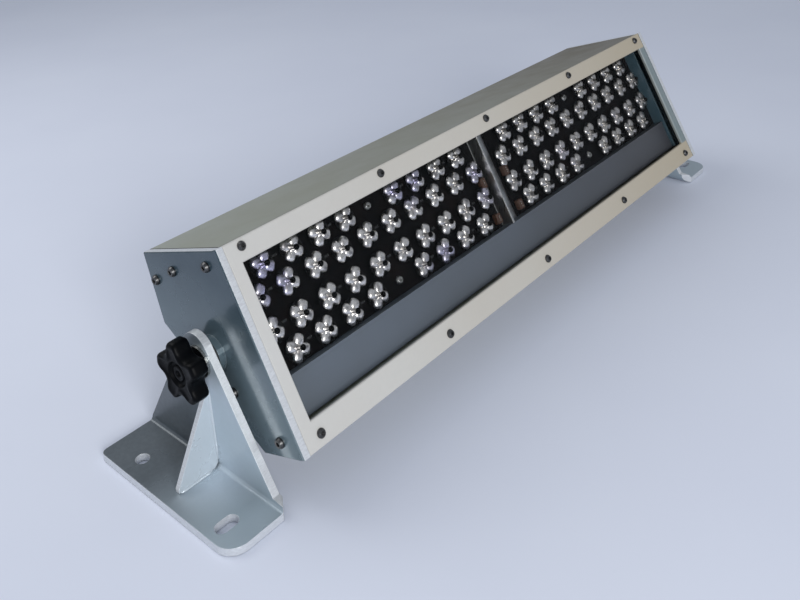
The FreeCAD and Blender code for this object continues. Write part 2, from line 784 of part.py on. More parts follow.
def build_front():
    bezel = plate("front_bezel", "front_y", "bezel_thick", draw_bezel)
    flat = bezel.Tip
    rim = edges_where(flat.Shape, lambda edge: level(edge, 1, value("front_y")) and
                      edge.Curve.TypeId == "Part::GeomLine")
    dress(bezel, "Chamfer", flat, rim, "Size", "bezel_bevel")
    plate("bezel_seal", "seal_y", "seal_thick", draw_seal)
    plate("front_glass", "flange_y", "glass_thick", lambda sketch: draw_rectangle(
        sketch, "-glass_half", "glass_half", "glass_bottom_z", "glass_top_z"))
    places = [FreeCAD.Vector(value(across), value("front_y"), value(upward))
              for across, upward in bezel_screw_places()]
    copies("bezel_screws", socket_screw("bezel", FreeCAD.Vector(0, -1, 0)), places)


# The two LED modules on the heat spreader.

def lens_places(side):
    # The (x, z) formulas of one module's optics. The middle of each outer row is left to a screw.
    count = int(value("inner_row_lenses"))
    start = f"{signed(side, 'module_x')} - row_half"
    for row in ("row_two_z", "row_three_z"):
        for index in range(count):
            yield f"{start} + {index} * lens_pitch", row
    for row in ("row_one_z", "row_four_z"):
        for index in range(count - 1):
            if 2 * index != count - 2:
                yield f"{start} + ({index} + 1 / 2) * lens_pitch", row


def module_screw_places():
    for name, side in SIDES:
        for row in ("row_one_z", "row_four_z"):
            yield signed(side, "module_x"), row


def driver_screw_places(side):
    for shift in ("- driver_screw_x", "+ driver_screw_x"):
        for rise in ("- driver_screw_spread / 2", "+ driver_screw_spread / 2"):
            yield f"{signed(side, 'driver_centre')} {shift}", f"driver_rise {rise}"


def draw_board(sketch, side):
    draw_rectangle(sketch, f"{signed(side, 'module_x')} - board_half",
                   f"{signed(side, 'module_x')} + board_half", "board_bottom_z", "board_top_z")
    for row in ("row_one_z", "row_four_z"):
        draw_circle(sketch, signed(side, "module_x"), row, "module_screw_radius + seat_clear")


def draw_spreader(sketch):
    draw_rectangle(sketch, "-spreader_half", "spreader_half", "spreader_bottom_z", "spreader_top_z")
    for across, upward in module_screw_places():
        draw_circle(sketch, across, upward, "module_screw_radius + run_clear")
    for name, side in SIDES:
        for across, upward in driver_screw_places(side):
            draw_circle(sketch, across, upward, "driver_screw_radius + run_clear")


def facing_front(shape):
    # Turns a shape drawn about Z so that it stands on the board and points to the front.
    shape.rotate(FreeCAD.Vector(), FreeCAD.Vector(1, 0, 0), 90)
    return shape


def cup_shape():
    # The black holder round each lens: a cone with a short straight rim.
    foot = value("lens_foot_radius + run_clear")
    mouth = value("lens_radius - cup_wall")
    shoulder = value("lens_height - cup_rim")
    return facing_front(turned_shape([(foot, 0), (foot + value("cup_wall"), 0),
                                      (value("lens_radius"), shoulder),
                                      (value("lens_radius"), value("lens_height")),
                                      (mouth, value("lens_height")), (mouth, shoulder)]))


def lens_shape():
    # A collimating lens: a cone with a well over the chip, a flat front inside the rim and a snout on it.
    rim = value("lens_radius - cup_wall - run_clear")
    well = value("lens_well_radius")
    foot = value("lens_foot_gap")
    front = value("lens_height - lens_inset")
    snout = value("lens_snout_radius")
    tip = front + value("lens_snout_height")
    return facing_front(turned_shape([(0, value("lens_well_height")), (well, value("lens_well_height")),
                                      (well, foot), (value("lens_foot_radius"), foot),
                                      (rim, value("lens_height - cup_rim")), (rim, front),
                                      (snout, front), (snout, tip), (0, tip)]))


def chip_shape():
    size = value("chip_size")
    height = value("chip_height")
    return Part.makeBox(size, height, size, FreeCAD.Vector(-size / 2, -height, -size / 2))


def build_module(name, side):
    plate("led_board_" + name, "board_y", "board_thick", lambda sketch: draw_board(sketch, side))
    places = [FreeCAD.Vector(value(across), value("board_y"), value(upward))
              for across, upward in lens_places(side)]
    copies("led_chips_" + name, chip_shape(), places)
    copies("lens_cups_" + name, cup_shape(), places)
    copies("lenses_" + name, lens_shape(), places)


def build_modules():
    plate("heat_spreader", "spreader_y", "spreader_thick", draw_spreader)
    for name, side in SIDES:
        build_module(name, side)
    places = [FreeCAD.Vector(value(across), value("board_y"), value(upward))
              for across, upward in module_screw_places()]
    copies("module_screws", socket_screw("module", FreeCAD.Vector(0, -1, 0)), places)
    plate("module_divider", "front_y + divider_depth", "board_depth + board_thick - divider_depth",
          lambda sketch: draw_rectangle(sketch, "-divider_offset - divider_thick / 2",
                                        "-divider_offset + divider_thick / 2",
                                        "board_bottom_z", "board_top_z"))


# The flat cover below the optics and the two side walls of the recess.

def build_cover():
    body = new_body("lower_cover")
    sketch = new_sketch(body, "YZ_Plane")
    draw_polygon(sketch, [("cover_y", "cover_bottom_z"), ("cover_y", "cover_top_z - cover_lip_width"),
                          ("cover_y - cover_lip", "cover_top_z - cover_lip_width"),
                          ("cover_y - cover_lip", "cover_top_z"), ("spreader_y", "cover_top_z"),
                          ("spreader_y", "cover_top_z - cover_thick"),
                          ("cover_y + cover_thick", "cover_top_z - cover_thick"),
                          ("cover_y + cover_thick", "cover_bottom_z")])
    pad(body, sketch, "2 * cover_half", symmetric=True)
    tilt_with_head(body)


def build_liner(label, side):
    body = new_body(label)
    sketch = end_sketch(body, side, "liner_x")
    draw_rectangle(sketch, "glass_back_y + seat_clear", "spreader_y", "cover_bottom_z", "board_top_z")
    pad(body, sketch, "liner_thick", backward=side < 0)
    tilt_with_head(body)


# The drivers and the terminal block on the back of the heat spreader.

def build_driver(label, side):
    centre = signed(side, "driver_centre")
    low = "driver_rise - driver_height / 2"
    high = "driver_rise + driver_height / 2"

    def draw_ears(sketch):
        draw_rectangle(sketch, f"{centre} - driver_length / 2 - driver_ear",
                       f"{centre} + driver_length / 2 + driver_ear", low, high)
        for across, upward in driver_screw_places(side):
            draw_circle(sketch, across, upward, "driver_screw_radius + seat_clear")

    body = plate(label, "spreader_back_y", "driver_ear_thick", draw_ears)
    case = new_sketch(body, "XZ_Plane", "-spreader_back_y")
    draw_rectangle(case, f"{centre} - driver_length / 2", f"{centre} + driver_length / 2", low, high)
    pad(body, case, "driver_depth", backward=True)


def build_terminal_block():
    body = plate("terminal_block", "spreader_back_y", "terminal_depth", lambda sketch: draw_rectangle(
        sketch, "gland_offset - terminal_length / 2", "gland_offset + terminal_length / 2",
        "terminal_z - terminal_height / 2", "terminal_z + terminal_height / 2"))
    mouths = new_sketch(body, "XZ_Plane", "-(spreader_back_y + terminal_depth)")
    for index in range(int(value("terminal_ways"))):
        draw_circle(mouths, f"gland_offset + ({index} - (terminal_ways - 1) / 2) * terminal_pitch",
                    "terminal_z", "terminal_hole_radius")
    cut_both_ways(body, mouths, "terminal_hole_deep")


def build_drivers():
    for name, side in SIDES:
        build_driver("driver_" + name, side)
    places = [FreeCAD.Vector(value(across), value("spreader_back_y + driver_ear_thick"), value(upward))
              for name, side in SIDES for across, upward in driver_screw_places(side)]
    copies("driver_screws", socket_screw("driver", FreeCAD.Vector(0, 1, 0)), places)
    build_terminal_block()


# The cable gland and the breather plug, each drawn about its own Z axis from the back wall.

def build_gland_body():
    body = new_body("gland_body")
    tail = "-(wall + locknut_height + thread_tail)"
    neck = "gland_flange_height + gland_neck_height"
    turn_about(body, "V_Axis", [
        ("gland_bore_radius", tail), ("gland_thread_radius", tail), ("gland_thread_radius", neck),
        ("gland_socket_radius", neck), ("gland_socket_radius", f"{neck} - gland_socket_deep"),
        ("gland_bore_radius", f"{neck} - gland_socket_deep")])
    hexagon = new_sketch(body, "XY_Plane")
    draw_hexagon(hexagon, "gland_flange_radius")
    draw_circle(hexagon, "0", "0", "gland_thread_radius - run_clear")
    pad(body, hexagon, "gland_flange_height")
    stand_on_back(body, "gland_offset")


def build_gland_dome():
    body = new_body("gland_dome")
    base = "gland_flange_height + face_gap"
    ceiling = "gland_flange_height + gland_neck_height + seat_clear"
    turn_about(body, "V_Axis", [
        ("gland_thread_radius + run_clear", base), ("gland_dome_radius", base),
        ("gland_dome_radius", ceiling), ("gland_dome_mouth", "dome_top"),
        ("gland_bore_radius", "dome_top"), ("gland_bore_radius", ceiling),
        ("gland_thread_radius + run_clear", ceiling)])
    stand_on_back(body, "gland_offset")


def build_gland_seal():
    body = new_body("gland_seal")
    top = "gland_flange_height + gland_neck_height"
    turn_about(body, "V_Axis", [
        ("gland_seal_bore", f"{top} - gland_socket_deep"),
        ("gland_socket_radius - run_clear", f"{top} - gland_socket_deep"),
        ("gland_socket_radius - run_clear", top), ("gland_seal_bore", top)])
    stand_on_back(body, "gland_offset")


def build_locknut():
    body = new_body("gland_locknut")
    sketch = new_sketch(body, "XY_Plane", "-(wall + locknut_height)")
    draw_hexagon(sketch, "locknut_radius")
    draw_circle(sketch, "0", "0", "gland_thread_radius + run_clear")
    pad(body, sketch, "locknut_height")
    stand_on_back(body, "gland_offset")


def build_breather():
    body = new_body("breather_plug")
    turn_about(body, "V_Axis", [
        ("0", "-vent_tail"), ("vent_thread_radius", "-vent_tail"), ("vent_thread_radius", "0"),
        ("vent_head_radius", "0"), ("vent_head_radius", "vent_head_height - vent_bevel"),
        ("vent_head_radius - vent_bevel", "vent_head_height"), ("0", "vent_head_height")])
    stand_on_back(body, "vent_offset")


# The foot brackets, each with a welded gusset.

def draw_upright(sketch):
    # Straight sides up to the bend, a shoulder at the front, then slanted edges up to a round crown.
    low_front = ("foot_front_y", "0")
    low_rear = ("foot_rear_y", "0")
    bend_front = ("foot_front_y", "bend_rise")
    bend_rear = ("foot_rear_y", "bend_rise")
    shoulder = ("foot_front_y + shoulder_inset", "bend_rise + shoulder_rise")
    front_foot, rear_foot, front_bend, rear_bend, front_shoulder = [
        FreeCAD.Vector(value(across), value(upward), 0)
        for across, upward in (low_front, low_rear, bend_front, bend_rear, shoulder)]
    crown = ("pivot_y + crown_shift", "pivot_height + crown_rise")
    centre = FreeCAD.Vector(value(crown[0]), value(crown[1]), 0)
    circle = Part.Circle(centre, FreeCAD.Vector(0, 0, 1), value("crown_radius"))
    top = Part.ArcOfCircle(circle, math.pi / 6, math.pi * 5 / 6)
    for piece in (Part.LineSegment(front_foot, rear_foot), Part.LineSegment(rear_foot, rear_bend),
                  Part.LineSegment(rear_bend, top.StartPoint), top,
                  Part.LineSegment(top.EndPoint, front_shoulder),
                  Part.LineSegment(front_shoulder, front_bend),
                  Part.LineSegment(front_bend, front_foot)):
        sketch.addGeometry(piece)
    for first, second in ((0, 1), (1, 2), (4, 5), (5, 6), (6, 0)):
        sketch.addConstraint(Sketcher.Constraint("Coincident", first, 2, second, 1))
    sketch.addConstraint(Sketcher.Constraint("Tangent", 2, 2, 3, 1))
    sketch.addConstraint(Sketcher.Constraint("Tangent", 3, 2, 4, 1))
    for geometry, corner in ((0, low_front), (1, low_rear), (2, bend_rear), (5, shoulder), (6, bend_front)):
        fix_point(sketch, geometry, 1, *corner)
    fix_point(sketch, 3, 3, *crown)
    fix_radius(sketch, 3, "crown_radius")


def build_bracket(label, side):
    body = new_body(label)
    foot = new_sketch(body, "XY_Plane")
    draw_rectangle(foot, signed(side, "upright_in"), signed(side, "foot_out"),
                   "foot_front_y", "foot_rear_y")
    pad(body, foot, "bracket_thick")
    upright = end_sketch(body, side, "upright_in")
    draw_upright(upright)
    blank = pad(body, upright, "bracket_thick", backward=side < 0)
    rounded = blank
    for front, radius in ((True, "foot_front_corner"), (False, "foot_rear_corner")):
        corner = edges_where(rounded.Shape, lambda edge: level(edge, 0, side * value("foot_out")) and
                             same(edge.Length, value("bracket_thick")) and
                             (edge.CenterOfMass.y < value("foot_y")) == front)
        rounded = dress(body, "Fillet", rounded, corner, "Radius", radius)
    inner = edges_where(rounded.Shape, lambda edge: level(edge, 0, side * value("upright_out")) and
                        level(edge, 2, value("bracket_thick")))
    bent = dress(body, "Fillet", rounded, inner, "Radius", "bend_radius")
    outer = edges_where(bent.Shape, lambda edge: level(edge, 0, side * value("upright_in")) and
                        abs(edge.BoundBox.ZMax) < value("face_gap"))
    dress(body, "Fillet", bent, outer, "Radius", "bend_rise")
    trim_bend(body, side)
    pierce_bracket(body, side)


def trim_bend(body, side):
    # The front corner of the bend is cut off aslant, as seen from above.
    sketch = new_sketch(body, "XY_Plane")
    corners = [("upright_in - corner_width", "foot_front_y + 2 * corner_length"),
               ("upright_in - corner_width", "foot_front_y - corner_length"),
               ("upright_in + 2 * corner_width", "foot_front_y - corner_length")]
    draw_polygon(sketch, [(signed(side, across), along) for across, along in corners])
    cut_both_ways(body, sketch, "bend_rise + shoulder_rise")


def pierce_bracket(body, side):
    # A round hole at the rear, a slot at the front, and the stud's hole in the upright.
    holes = new_sketch(body, "XY_Plane")
    draw_circle(holes, signed(side, "hole_x"), "foot_y + hole_spacing / 2", "hole_radius")
    draw_slot(holes, signed(side, "hole_x"), "foot_y - hole_spacing / 2", "slot_length", "hole_radius")
    cut_both_ways(body, holes, "bracket_thick")
    pivot = end_sketch(body, side, "upright_in")
    draw_circle(pivot, "pivot_y", "pivot_height", "stud_radius + run_clear")
    cut_both_ways(body, pivot, "bracket_thick")


def build_gusset(label, side):
    # A rib on the foot's middle line, its inner corner cut back to clear the bend.
    body = new_body(label)
    sketch = new_sketch(body, "XZ_Plane", "-foot_y")
    cope = "bend_radius + seat_clear"
    corners = [(f"upright_out + {cope}", "bracket_thick"), ("upright_out + gusset_length", "bracket_thick"),
               ("upright_out + gusset_length", "bracket_thick + gusset_nose"),
               ("upright_out", "bracket_thick + gusset_height"), ("upright_out", f"bracket_thick + {cope}")]
    draw_polygon(sketch, [(signed(side, across), upward) for across, upward in corners])
    pad(body, sketch, "gusset_thick", symmetric=True)


# The pivot hardware at each end: friction disc, stud, washer, knob and its brass insert.

def turned_on_pivot(label, side, corners):
    # A piece turned about the pivot axis from (distance along X, radius) corners.
    body = new_body(label)
    turn_about(body, "H_Axis", [(signed(side, across), radius) for across, radius in corners])
    tilt_with_head(body)


def ring(inner, outer, bore, radius):
    return [(inner, bore), (inner, radius), (outer, radius), (outer, bore)]


def build_knob(label, side):
    body = new_body(label)
    grip = end_sketch(body, side, "knob_base")
    draw_circle(grip, "0", "0", "knob_radius")
    pad(body, grip, "knob_height", backward=side < 0)
    scallops = end_sketch(body, side, "knob_base")
    lobes = int(value("knob_lobes"))
    for index in range(lobes):
        angle = f"{index} * 360 deg / knob_lobes"
        draw_circle(scallops, f"scallop_reach * cos({angle})", f"scallop_reach * sin({angle})",
                    "scallop_radius")
    star = cut_both_ways(body, scallops, "knob_height")
    every_edge = edges_where(star.Shape, lambda edge: True)
    dress(body, "Fillet", star, every_edge, "Radius", "knob_round")
    hub = end_sketch(body, side, "washer_out")
    draw_circle(hub, "0", "0", "hub_radius")
    pad(body, hub, "hub_height + knob_height / 2", backward=side < 0)
    bore = end_sketch(body, side, "washer_out")
    draw_circle(bore, "0", "0", "insert_radius + run_clear")
    cut_both_ways(body, bore, "insert_length - overrun")
    tilt_with_head(body)


def build_pivot(name, side):
    bore = "stud_radius + run_clear"
    turned_on_pivot("friction_disc_" + name, side, ring(
        "boss_out + face_gap", "upright_in - face_gap", bore, "disc_radius"))
    turned_on_pivot("pivot_stud_" + name, side, ring("boss_in", "stud_tip", "0", "stud_radius"))
    turned_on_pivot("knob_washer_" + name, side, ring(
        "upright_out + face_gap", "washer_out - face_gap", bore, "washer_radius"))
    turned_on_pivot("knob_insert_" + name, side, ring(
        "washer_out", "washer_out + insert_length - face_gap", bore, "insert_radius"))
    build_knob("knob_" + name, side)


def check_all():
    # Every object has to be up to date, and every piece has to be a valid solid.
    doc.recompute()
    for thing in doc.Objects:
        if "Invalid" in thing.State or "Error" in thing.State:
            raise RuntimeError("not built: " + thing.Label)
    for part in parts:
        if part.Shape.isNull() or not part.Shape.isValid():
            raise RuntimeError("no valid shape: " + part.Label)


def write_all():
    os.makedirs("parts", exist_ok=True)
    for part in parts:
        part.Shape.exportStep(os.path.join("parts", part.Label + ".step"))


fill_sheets()
build_housing()
for side_name, side_sign in SIDES:
    build_end_plate("end_plate_" + side_name, side_sign)
    build_end_seal("end_seal_" + side_name, side_sign)
    build_liner("side_liner_" + side_name, side_sign)
    build_bracket("bracket_" + side_name, side_sign)
    build_gusset("gusset_" + side_name, side_sign)
    build_pivot(side_name, side_sign)
build_end_screws()
build_front()
build_modules()
build_cover()
build_drivers()
build_gland_body()
build_gland_dome()
build_gland_seal()
build_locknut()
build_breather()
check_all()
write_all()
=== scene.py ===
import json
import math

import bmesh
import bpy
from mathutils import Matrix, Vector


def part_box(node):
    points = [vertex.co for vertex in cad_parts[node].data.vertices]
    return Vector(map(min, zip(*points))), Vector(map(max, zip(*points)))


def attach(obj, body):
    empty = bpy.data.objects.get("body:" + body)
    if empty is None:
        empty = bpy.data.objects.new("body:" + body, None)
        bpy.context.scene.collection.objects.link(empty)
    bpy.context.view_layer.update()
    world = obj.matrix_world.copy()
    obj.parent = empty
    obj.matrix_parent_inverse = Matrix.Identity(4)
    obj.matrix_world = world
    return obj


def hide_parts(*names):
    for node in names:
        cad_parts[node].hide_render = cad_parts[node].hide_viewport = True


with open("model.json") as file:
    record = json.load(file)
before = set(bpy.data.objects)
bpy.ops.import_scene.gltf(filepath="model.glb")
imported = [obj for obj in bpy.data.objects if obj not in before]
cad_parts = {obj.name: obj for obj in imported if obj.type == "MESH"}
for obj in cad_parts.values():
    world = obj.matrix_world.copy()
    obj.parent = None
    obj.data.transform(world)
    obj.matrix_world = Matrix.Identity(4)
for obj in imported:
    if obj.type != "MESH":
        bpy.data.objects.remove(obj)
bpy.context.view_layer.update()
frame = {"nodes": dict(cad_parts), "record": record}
NODES = frame["nodes"]

MM = 0.001
FULL_TURN = 2 * math.pi
SIDES = (("left", -1), ("right", 1))

# The head leans back about its pivot, whose place is in millimetres.
TILT = math.radians(27.5)
PIVOT_Y = -44.0
PIVOT_Z = 90.0


# Places and colours.

def head(x, y, z):
    """A point of the head's own frame, in millimetres, as a point of the scene."""
    return Vector((x, PIVOT_Y + y * math.cos(TILT) + z * math.sin(TILT),
                   PIVOT_Z - y * math.sin(TILT) + z * math.cos(TILT))) * MM


def srgb(red, green, blue):
    """A colour written as on a screen, 0 to 255, as the shader's linear colour."""
    def linear(value):
        value /= 255
        return value / 12.92 if value <= 0.04045 else ((value + 0.055) / 1.055) ** 2.4
    return linear(red), linear(green), linear(blue), 1.0


def scaled(colour, factor):
    """A linear colour made lighter or darker, and kept within white."""
    return tuple(min(1.0, channel * factor) for channel in colour[:3]) + (1.0,)


# Materials.

# Sockets of the Mix node when it mixes colours.
MIX_SHARE, MIX_ONE, MIX_OTHER, MIX_RESULT = 0, 6, 7, 2

ROUNDING_SAMPLES = 4
# How far the rounded normal agrees with the true one, on flat ground and at an edge.
AGREES_FLAT, AGREES_EDGE = 0.995, 0.86

# Radius in millimetres over which edges are softened in the shading.
PAINT_ROUNDING = 0.6
FINE_ROUNDING = 0.4


class Look:
    """A material with one Principled shader, and short names for the nodes that vary it."""

    def __init__(self, name, roughness, metallic=0.0, specular=0.5, coat=0.0, coat_roughness=0.1):
        self.material = bpy.data.materials.new(name)
        self.material.use_nodes = True
        self.nodes = self.material.node_tree.nodes
        self.links = self.material.node_tree.links
        self.shader = self.nodes["Principled BSDF"]
        self.shader.inputs["Metallic"].default_value = metallic
        self.shader.inputs["Roughness"].default_value = roughness
        self.shader.inputs["Specular IOR Level"].default_value = specular
        self.shader.inputs["Coat Weight"].default_value = coat
        self.shader.inputs["Coat Roughness"].default_value = coat_roughness
        self.place = self.nodes.new("ShaderNodeTexCoord").outputs["Object"]

    def give(self, socket, value):
        """Sets a plain value on a socket, or links another node's output to it."""
        if isinstance(value, (int, float, tuple)):
            socket.default_value = value
        else:
            self.links.new(value, socket)

    def stretched(self, scale):
        """The place, stretched by a factor along each axis."""
        node = self.nodes.new("ShaderNodeMapping")
        node.inputs["Scale"].default_value = scale
        self.links.new(self.place, node.inputs["Vector"])
        return node.outputs["Vector"]

    def noise(self, scale, detail, rough=0.55, place=None):
        node = self.nodes.new("ShaderNodeTexNoise")
        node.inputs["Scale"].default_value = scale
        node.inputs["Detail"].default_value = detail
        node.inputs["Roughness"].default_value = rough
        self.links.new(place or self.place, node.inputs["Vector"])
        return node.outputs["Fac"]

    def spread(self, value, low, high, to_low=0.0, to_high=1.0):
        """The value's range from low to high, spread over another range."""
        node = self.nodes.new("ShaderNodeMapRange")
        node.inputs["From Min"].default_value = low
        node.inputs["From Max"].default_value = high
        node.inputs["To Min"].default_value = to_low
        node.inputs["To Max"].default_value = to_high
        self.links.new(value, node.inputs["Value"])
        return node.outputs["Result"]

    def patches(self, scale, detail, low, high, to_low=0.0, to_high=1.0, rough=0.55):
        """Noise whose range from low to high is spread over another range."""
        return self.spread(self.noise(scale, detail, rough), low, high, to_low, to_high)

    def product(self, one, other):
        node = self.nodes.new("ShaderNodeMath")
        node.operation = "MULTIPLY"
        for socket, value in zip(node.inputs, (one, other)):
            self.give(socket, value)
        return node.outputs["Value"]

    def mix(self, share, one, other):
        """A colour between two colours: the first at a share of 0, the other at 1."""
        node = self.nodes.new("ShaderNodeMix")
        node.data_type = "RGBA"
        for index, value in ((MIX_SHARE, share), (MIX_ONE, one), (MIX_OTHER, other)):
            self.give(node.inputs[index], value)
        return node.outputs[MIX_RESULT]

    def rounded(self, radius):
        """The surface normal with its edges rounded off by a radius in millimetres."""
        node = self.nodes.new("ShaderNodeBevel")
        node.samples = ROUNDING_SAMPLES
        node.inputs["Radius"].default_value = radius * MM
        return node.outputs["Normal"]

    def edges(self, radius):
        """A value near 1 at edges and 0 on flat ground."""
        geometry = self.nodes.new("ShaderNodeNewGeometry")
        dot = self.nodes.new("ShaderNodeVectorMath")
        dot.operation = "DOT_PRODUCT"
        self.links.new(self.rounded(radius), dot.inputs[0])
        self.links.new(geometry.outputs["Normal"], dot.inputs[1])
        return self.spread(dot.outputs["Value"], AGREES_FLAT, AGREES_EDGE)

    def between(self, axis, low, high):
        """0 at one place along an axis of the scene and 1 at another, in metres."""
        node = self.nodes.new("ShaderNodeSeparateXYZ")
        self.links.new(self.place, node.inputs["Vector"])
        return self.spread(node.outputs[axis], low, high)

    def colour(self, value):
        self.links.new(value, self.shader.inputs["Base Color"])

    def roughness(self, value):
        self.links.new(value, self.shader.inputs["Roughness"])

    def bump(self, height, strength, depth, normal=None):
        """Relief of a depth in millimetres, over the plain or the given normal."""
        node = self.nodes.new("ShaderNodeBump")
        node.inputs["Strength"].default_value = strength
        node.inputs["Distance"].default_value = depth * MM
        self.links.new(height, node.inputs["Height"])
        if normal is not None:
            self.links.new(normal, node.inputs["Normal"])
        self.links.new(node.outputs["Normal"], self.shader.inputs["Normal"])


def painted(name, colour, other, worn, roughness, metallic=0.0, wear=0.4, peel=0.05, coat=0.0,
            coat_roughness=0.1, light_and_shade_turns=()):
    """Powder-coated metal: soft colour drift, fine specks, rubbed edges and a light peel.

    Each turn is a later colour and the runs, as for between, over which it comes in; it paints
    light and shade into the colour.
    """
    look = Look(name, roughness, metallic, coat=coat, coat_roughness=coat_roughness)
    drift = look.patches(scale=7, detail=4, low=0.35, high=0.68)
    tone = look.mix(drift, colour, other)
    for later, *runs in light_and_shade_turns:
        share = 1.0
        for run in runs:
            share = look.product(look.between(*run), share)
        tone = look.mix(share, tone, later)
    speck = look.patches(scale=300, detail=2, low=0.35, high=0.72, to_high=0.08)
    tone = look.mix(speck, tone, scaled(colour, factor=0.72))
    scuffs = look.patches(scale=55, detail=6, rough=0.7, low=0.38, high=0.62)
    rub = look.product(look.product(look.edges(PAINT_ROUNDING), scuffs), wear)
    look.colour(look.mix(rub, tone, worn))
    look.roughness(look.patches(scale=23, detail=5, low=0.3, high=0.7,
                                to_low=roughness - 0.07, to_high=roughness + 0.09))
    look.bump(look.noise(scale=900, detail=2), peel, depth=0.12,
              normal=look.rounded(PAINT_ROUNDING))
    return look.material


def brushed(name, colour, roughness, across, metallic=1.0):
    """Bare metal with the fine lines of a cut or an extrusion.

    across says how fine the lines are along each axis.
    """
    look = Look(name, roughness, metallic)
    lines = look.noise(scale=1, detail=3, rough=0.6, place=look.stretched(across))
    share = look.spread(lines, low=0.3, high=0.7)
    look.colour(look.mix(share, scaled(colour, factor=0.82), colour))
    look.roughness(look.spread(lines, low=0.25, high=0.75,
                               to_low=roughness - 0.08, to_high=roughness + 0.12))
    look.bump(lines, strength=0.12, depth=0.05, normal=look.rounded(FINE_ROUNDING))
    return look.material


def moulded(name, colour, roughness, grain, strength, specular=0.5):
    """Moulded plastic or rubber with a fine eroded grain and a slight bloom."""
    look = Look(name, roughness, specular=specular)
    bloom = look.patches(scale=60, detail=4, low=0.4, high=0.7, to_high=0.5)
    look.colour(look.mix(bloom, colour, scaled(colour, factor=1.5)))
    look.roughness(look.patches(scale=35, detail=3, low=0.3, high=0.7,
                                to_low=roughness - 0.08, to_high=roughness + 0.1))
    look.bump(look.noise(grain, detail=2), strength, depth=0.08,
              normal=look.rounded(FINE_ROUNDING))
    return look.material


# Runs over which painted light and painted shade come in: an axis and two places along it, in
# metres.
# Painted shade: darker towards the far end of the head, where the light falls off.
FALLOFF_SHADE_ALONG_HEAD = ("X", -0.3, 0.3)
# Painted shade: the lens lobes darker towards the far end.
FALLOFF_SHADE_ALONG_LOBES = ("X", -0.2, 0.3)
# Painted shade: the right side liner, deep in the recess, darker than the left one.
SHADED_PAST_LEFT_LINER = ("X", 0.0, 0.1)
# Painted reflection: the end plates darker towards the top.
REFLECTION_UP_END_PLATE = ("Z", 0.06, 0.15)
# Painted shade: the bezel's far upright member a dim grey-teal.
SHADED_FAR_BEZEL_MEMBER = (("X", 0.2845, 0.2855), ("Z", 0.059, 0.060), ("Z", 0.1605, 0.1595))
# Painted shade: the bracket darker towards the rear of the foot, behind the gusset.
SHADE_ALONG_FOOT = ("Y", -0.105, -0.020)
# Painted highlight: the foot lighter in front of the gusset.
HIGHLIGHT_BEFORE_GUSSET = (("Y", -0.048, -0.053), ("Y", -0.094, -0.062), ("X", -0.361, -0.330))
# Painted light: the upright's front lighter, before the gusset's shade.
LIGHT_ON_UPRIGHT_FRONT = (("Y", -0.046, -0.060), ("Z", 0.010, 0.034))


def petal_silver():
    """The silvered lobes of the lenses: bright, with a violet cast on a few of them."""
    look = Look("petal_silver", roughness=0.3, metallic=1.0)
    cast = look.patches(scale=17, detail=0, low=0.62, high=0.72)
    tone = look.mix(cast, srgb(250, 247, 243), srgb(212, 209, 232))
    # Painted shade: the lobes turn darker towards the far end of the head.
    tone = look.mix(look.between(*FALLOFF_SHADE_ALONG_LOBES), tone, srgb(204, 200, 194))
    smear = look.patches(scale=260, detail=3, low=0.45, high=0.70)
    look.colour(look.mix(smear, tone, srgb(140, 138, 140)))
    look.roughness(look.patches(scale=260, detail=2, low=0.3, high=0.7, to_low=0.2, to_high=0.4))
    look.bump(look.noise(scale=240, detail=1), strength=0.4, depth=0.4)
    return look.material


def board_black():
    """Black solder mask over copper tracks that show as a faint relief."""
    look = Look("board_mask", roughness=0.55, specular=0.05)
    tracks = look.noise(scale=1, detail=0, rough=0.0, place=look.stretched((160, 160, 620)))
    relief = look.spread(tracks, low=0.47, high=0.53)
    tone = look.mix(relief, srgb(4, 3, 5), srgb(10, 8, 9))
    flux = look.patches(scale=30, detail=3, low=0.5, high=0.75, to_high=0.5)
    look.colour(look.mix(flux, tone, srgb(24, 13, 10)))
    look.roughness(look.patches(scale=90, detail=3, low=0.3, high=0.7, to_low=0.45, to_high=0.65))
    look.bump(relief, strength=0.4, depth=0.08)
    return look.material


def clear_glass():
    """The front glass: nearly all light passes, a little is reflected."""
    look = Look("front_glass", roughness=0.03, specular=0.6)
    haze = look.noise(scale=14, detail=3)
    look.colour(look.mix(look.spread(haze, low=0.3, high=0.7), srgb(20, 26, 27), srgb(30, 36, 37)))
    look.roughness(look.spread(haze, low=0.3, high=0.7, to_low=0.02, to_high=0.06))
    look.bump(look.noise(scale=30, detail=1), strength=0.02, depth=0.05)
    look.shader.inputs["Alpha"].default_value = 0.07
    return look.material


def clear_lens():
    """The clear plastic of the lenses, which the silvered lobes stand in for."""
    look = Look("lens_clear", roughness=0.04, specular=0.8)
    cloud = look.patches(scale=200, detail=2, low=0.3, high=0.7)
    look.colour(look.mix(cloud, srgb(190, 196, 204), srgb(220, 224, 230)))
    look.roughness(look.patches(scale=90, detail=2, low=0.3, high=0.7, to_low=0.03, to_high=0.08))
    look.shader.inputs["Alpha"].default_value = 0.3
    return look.material


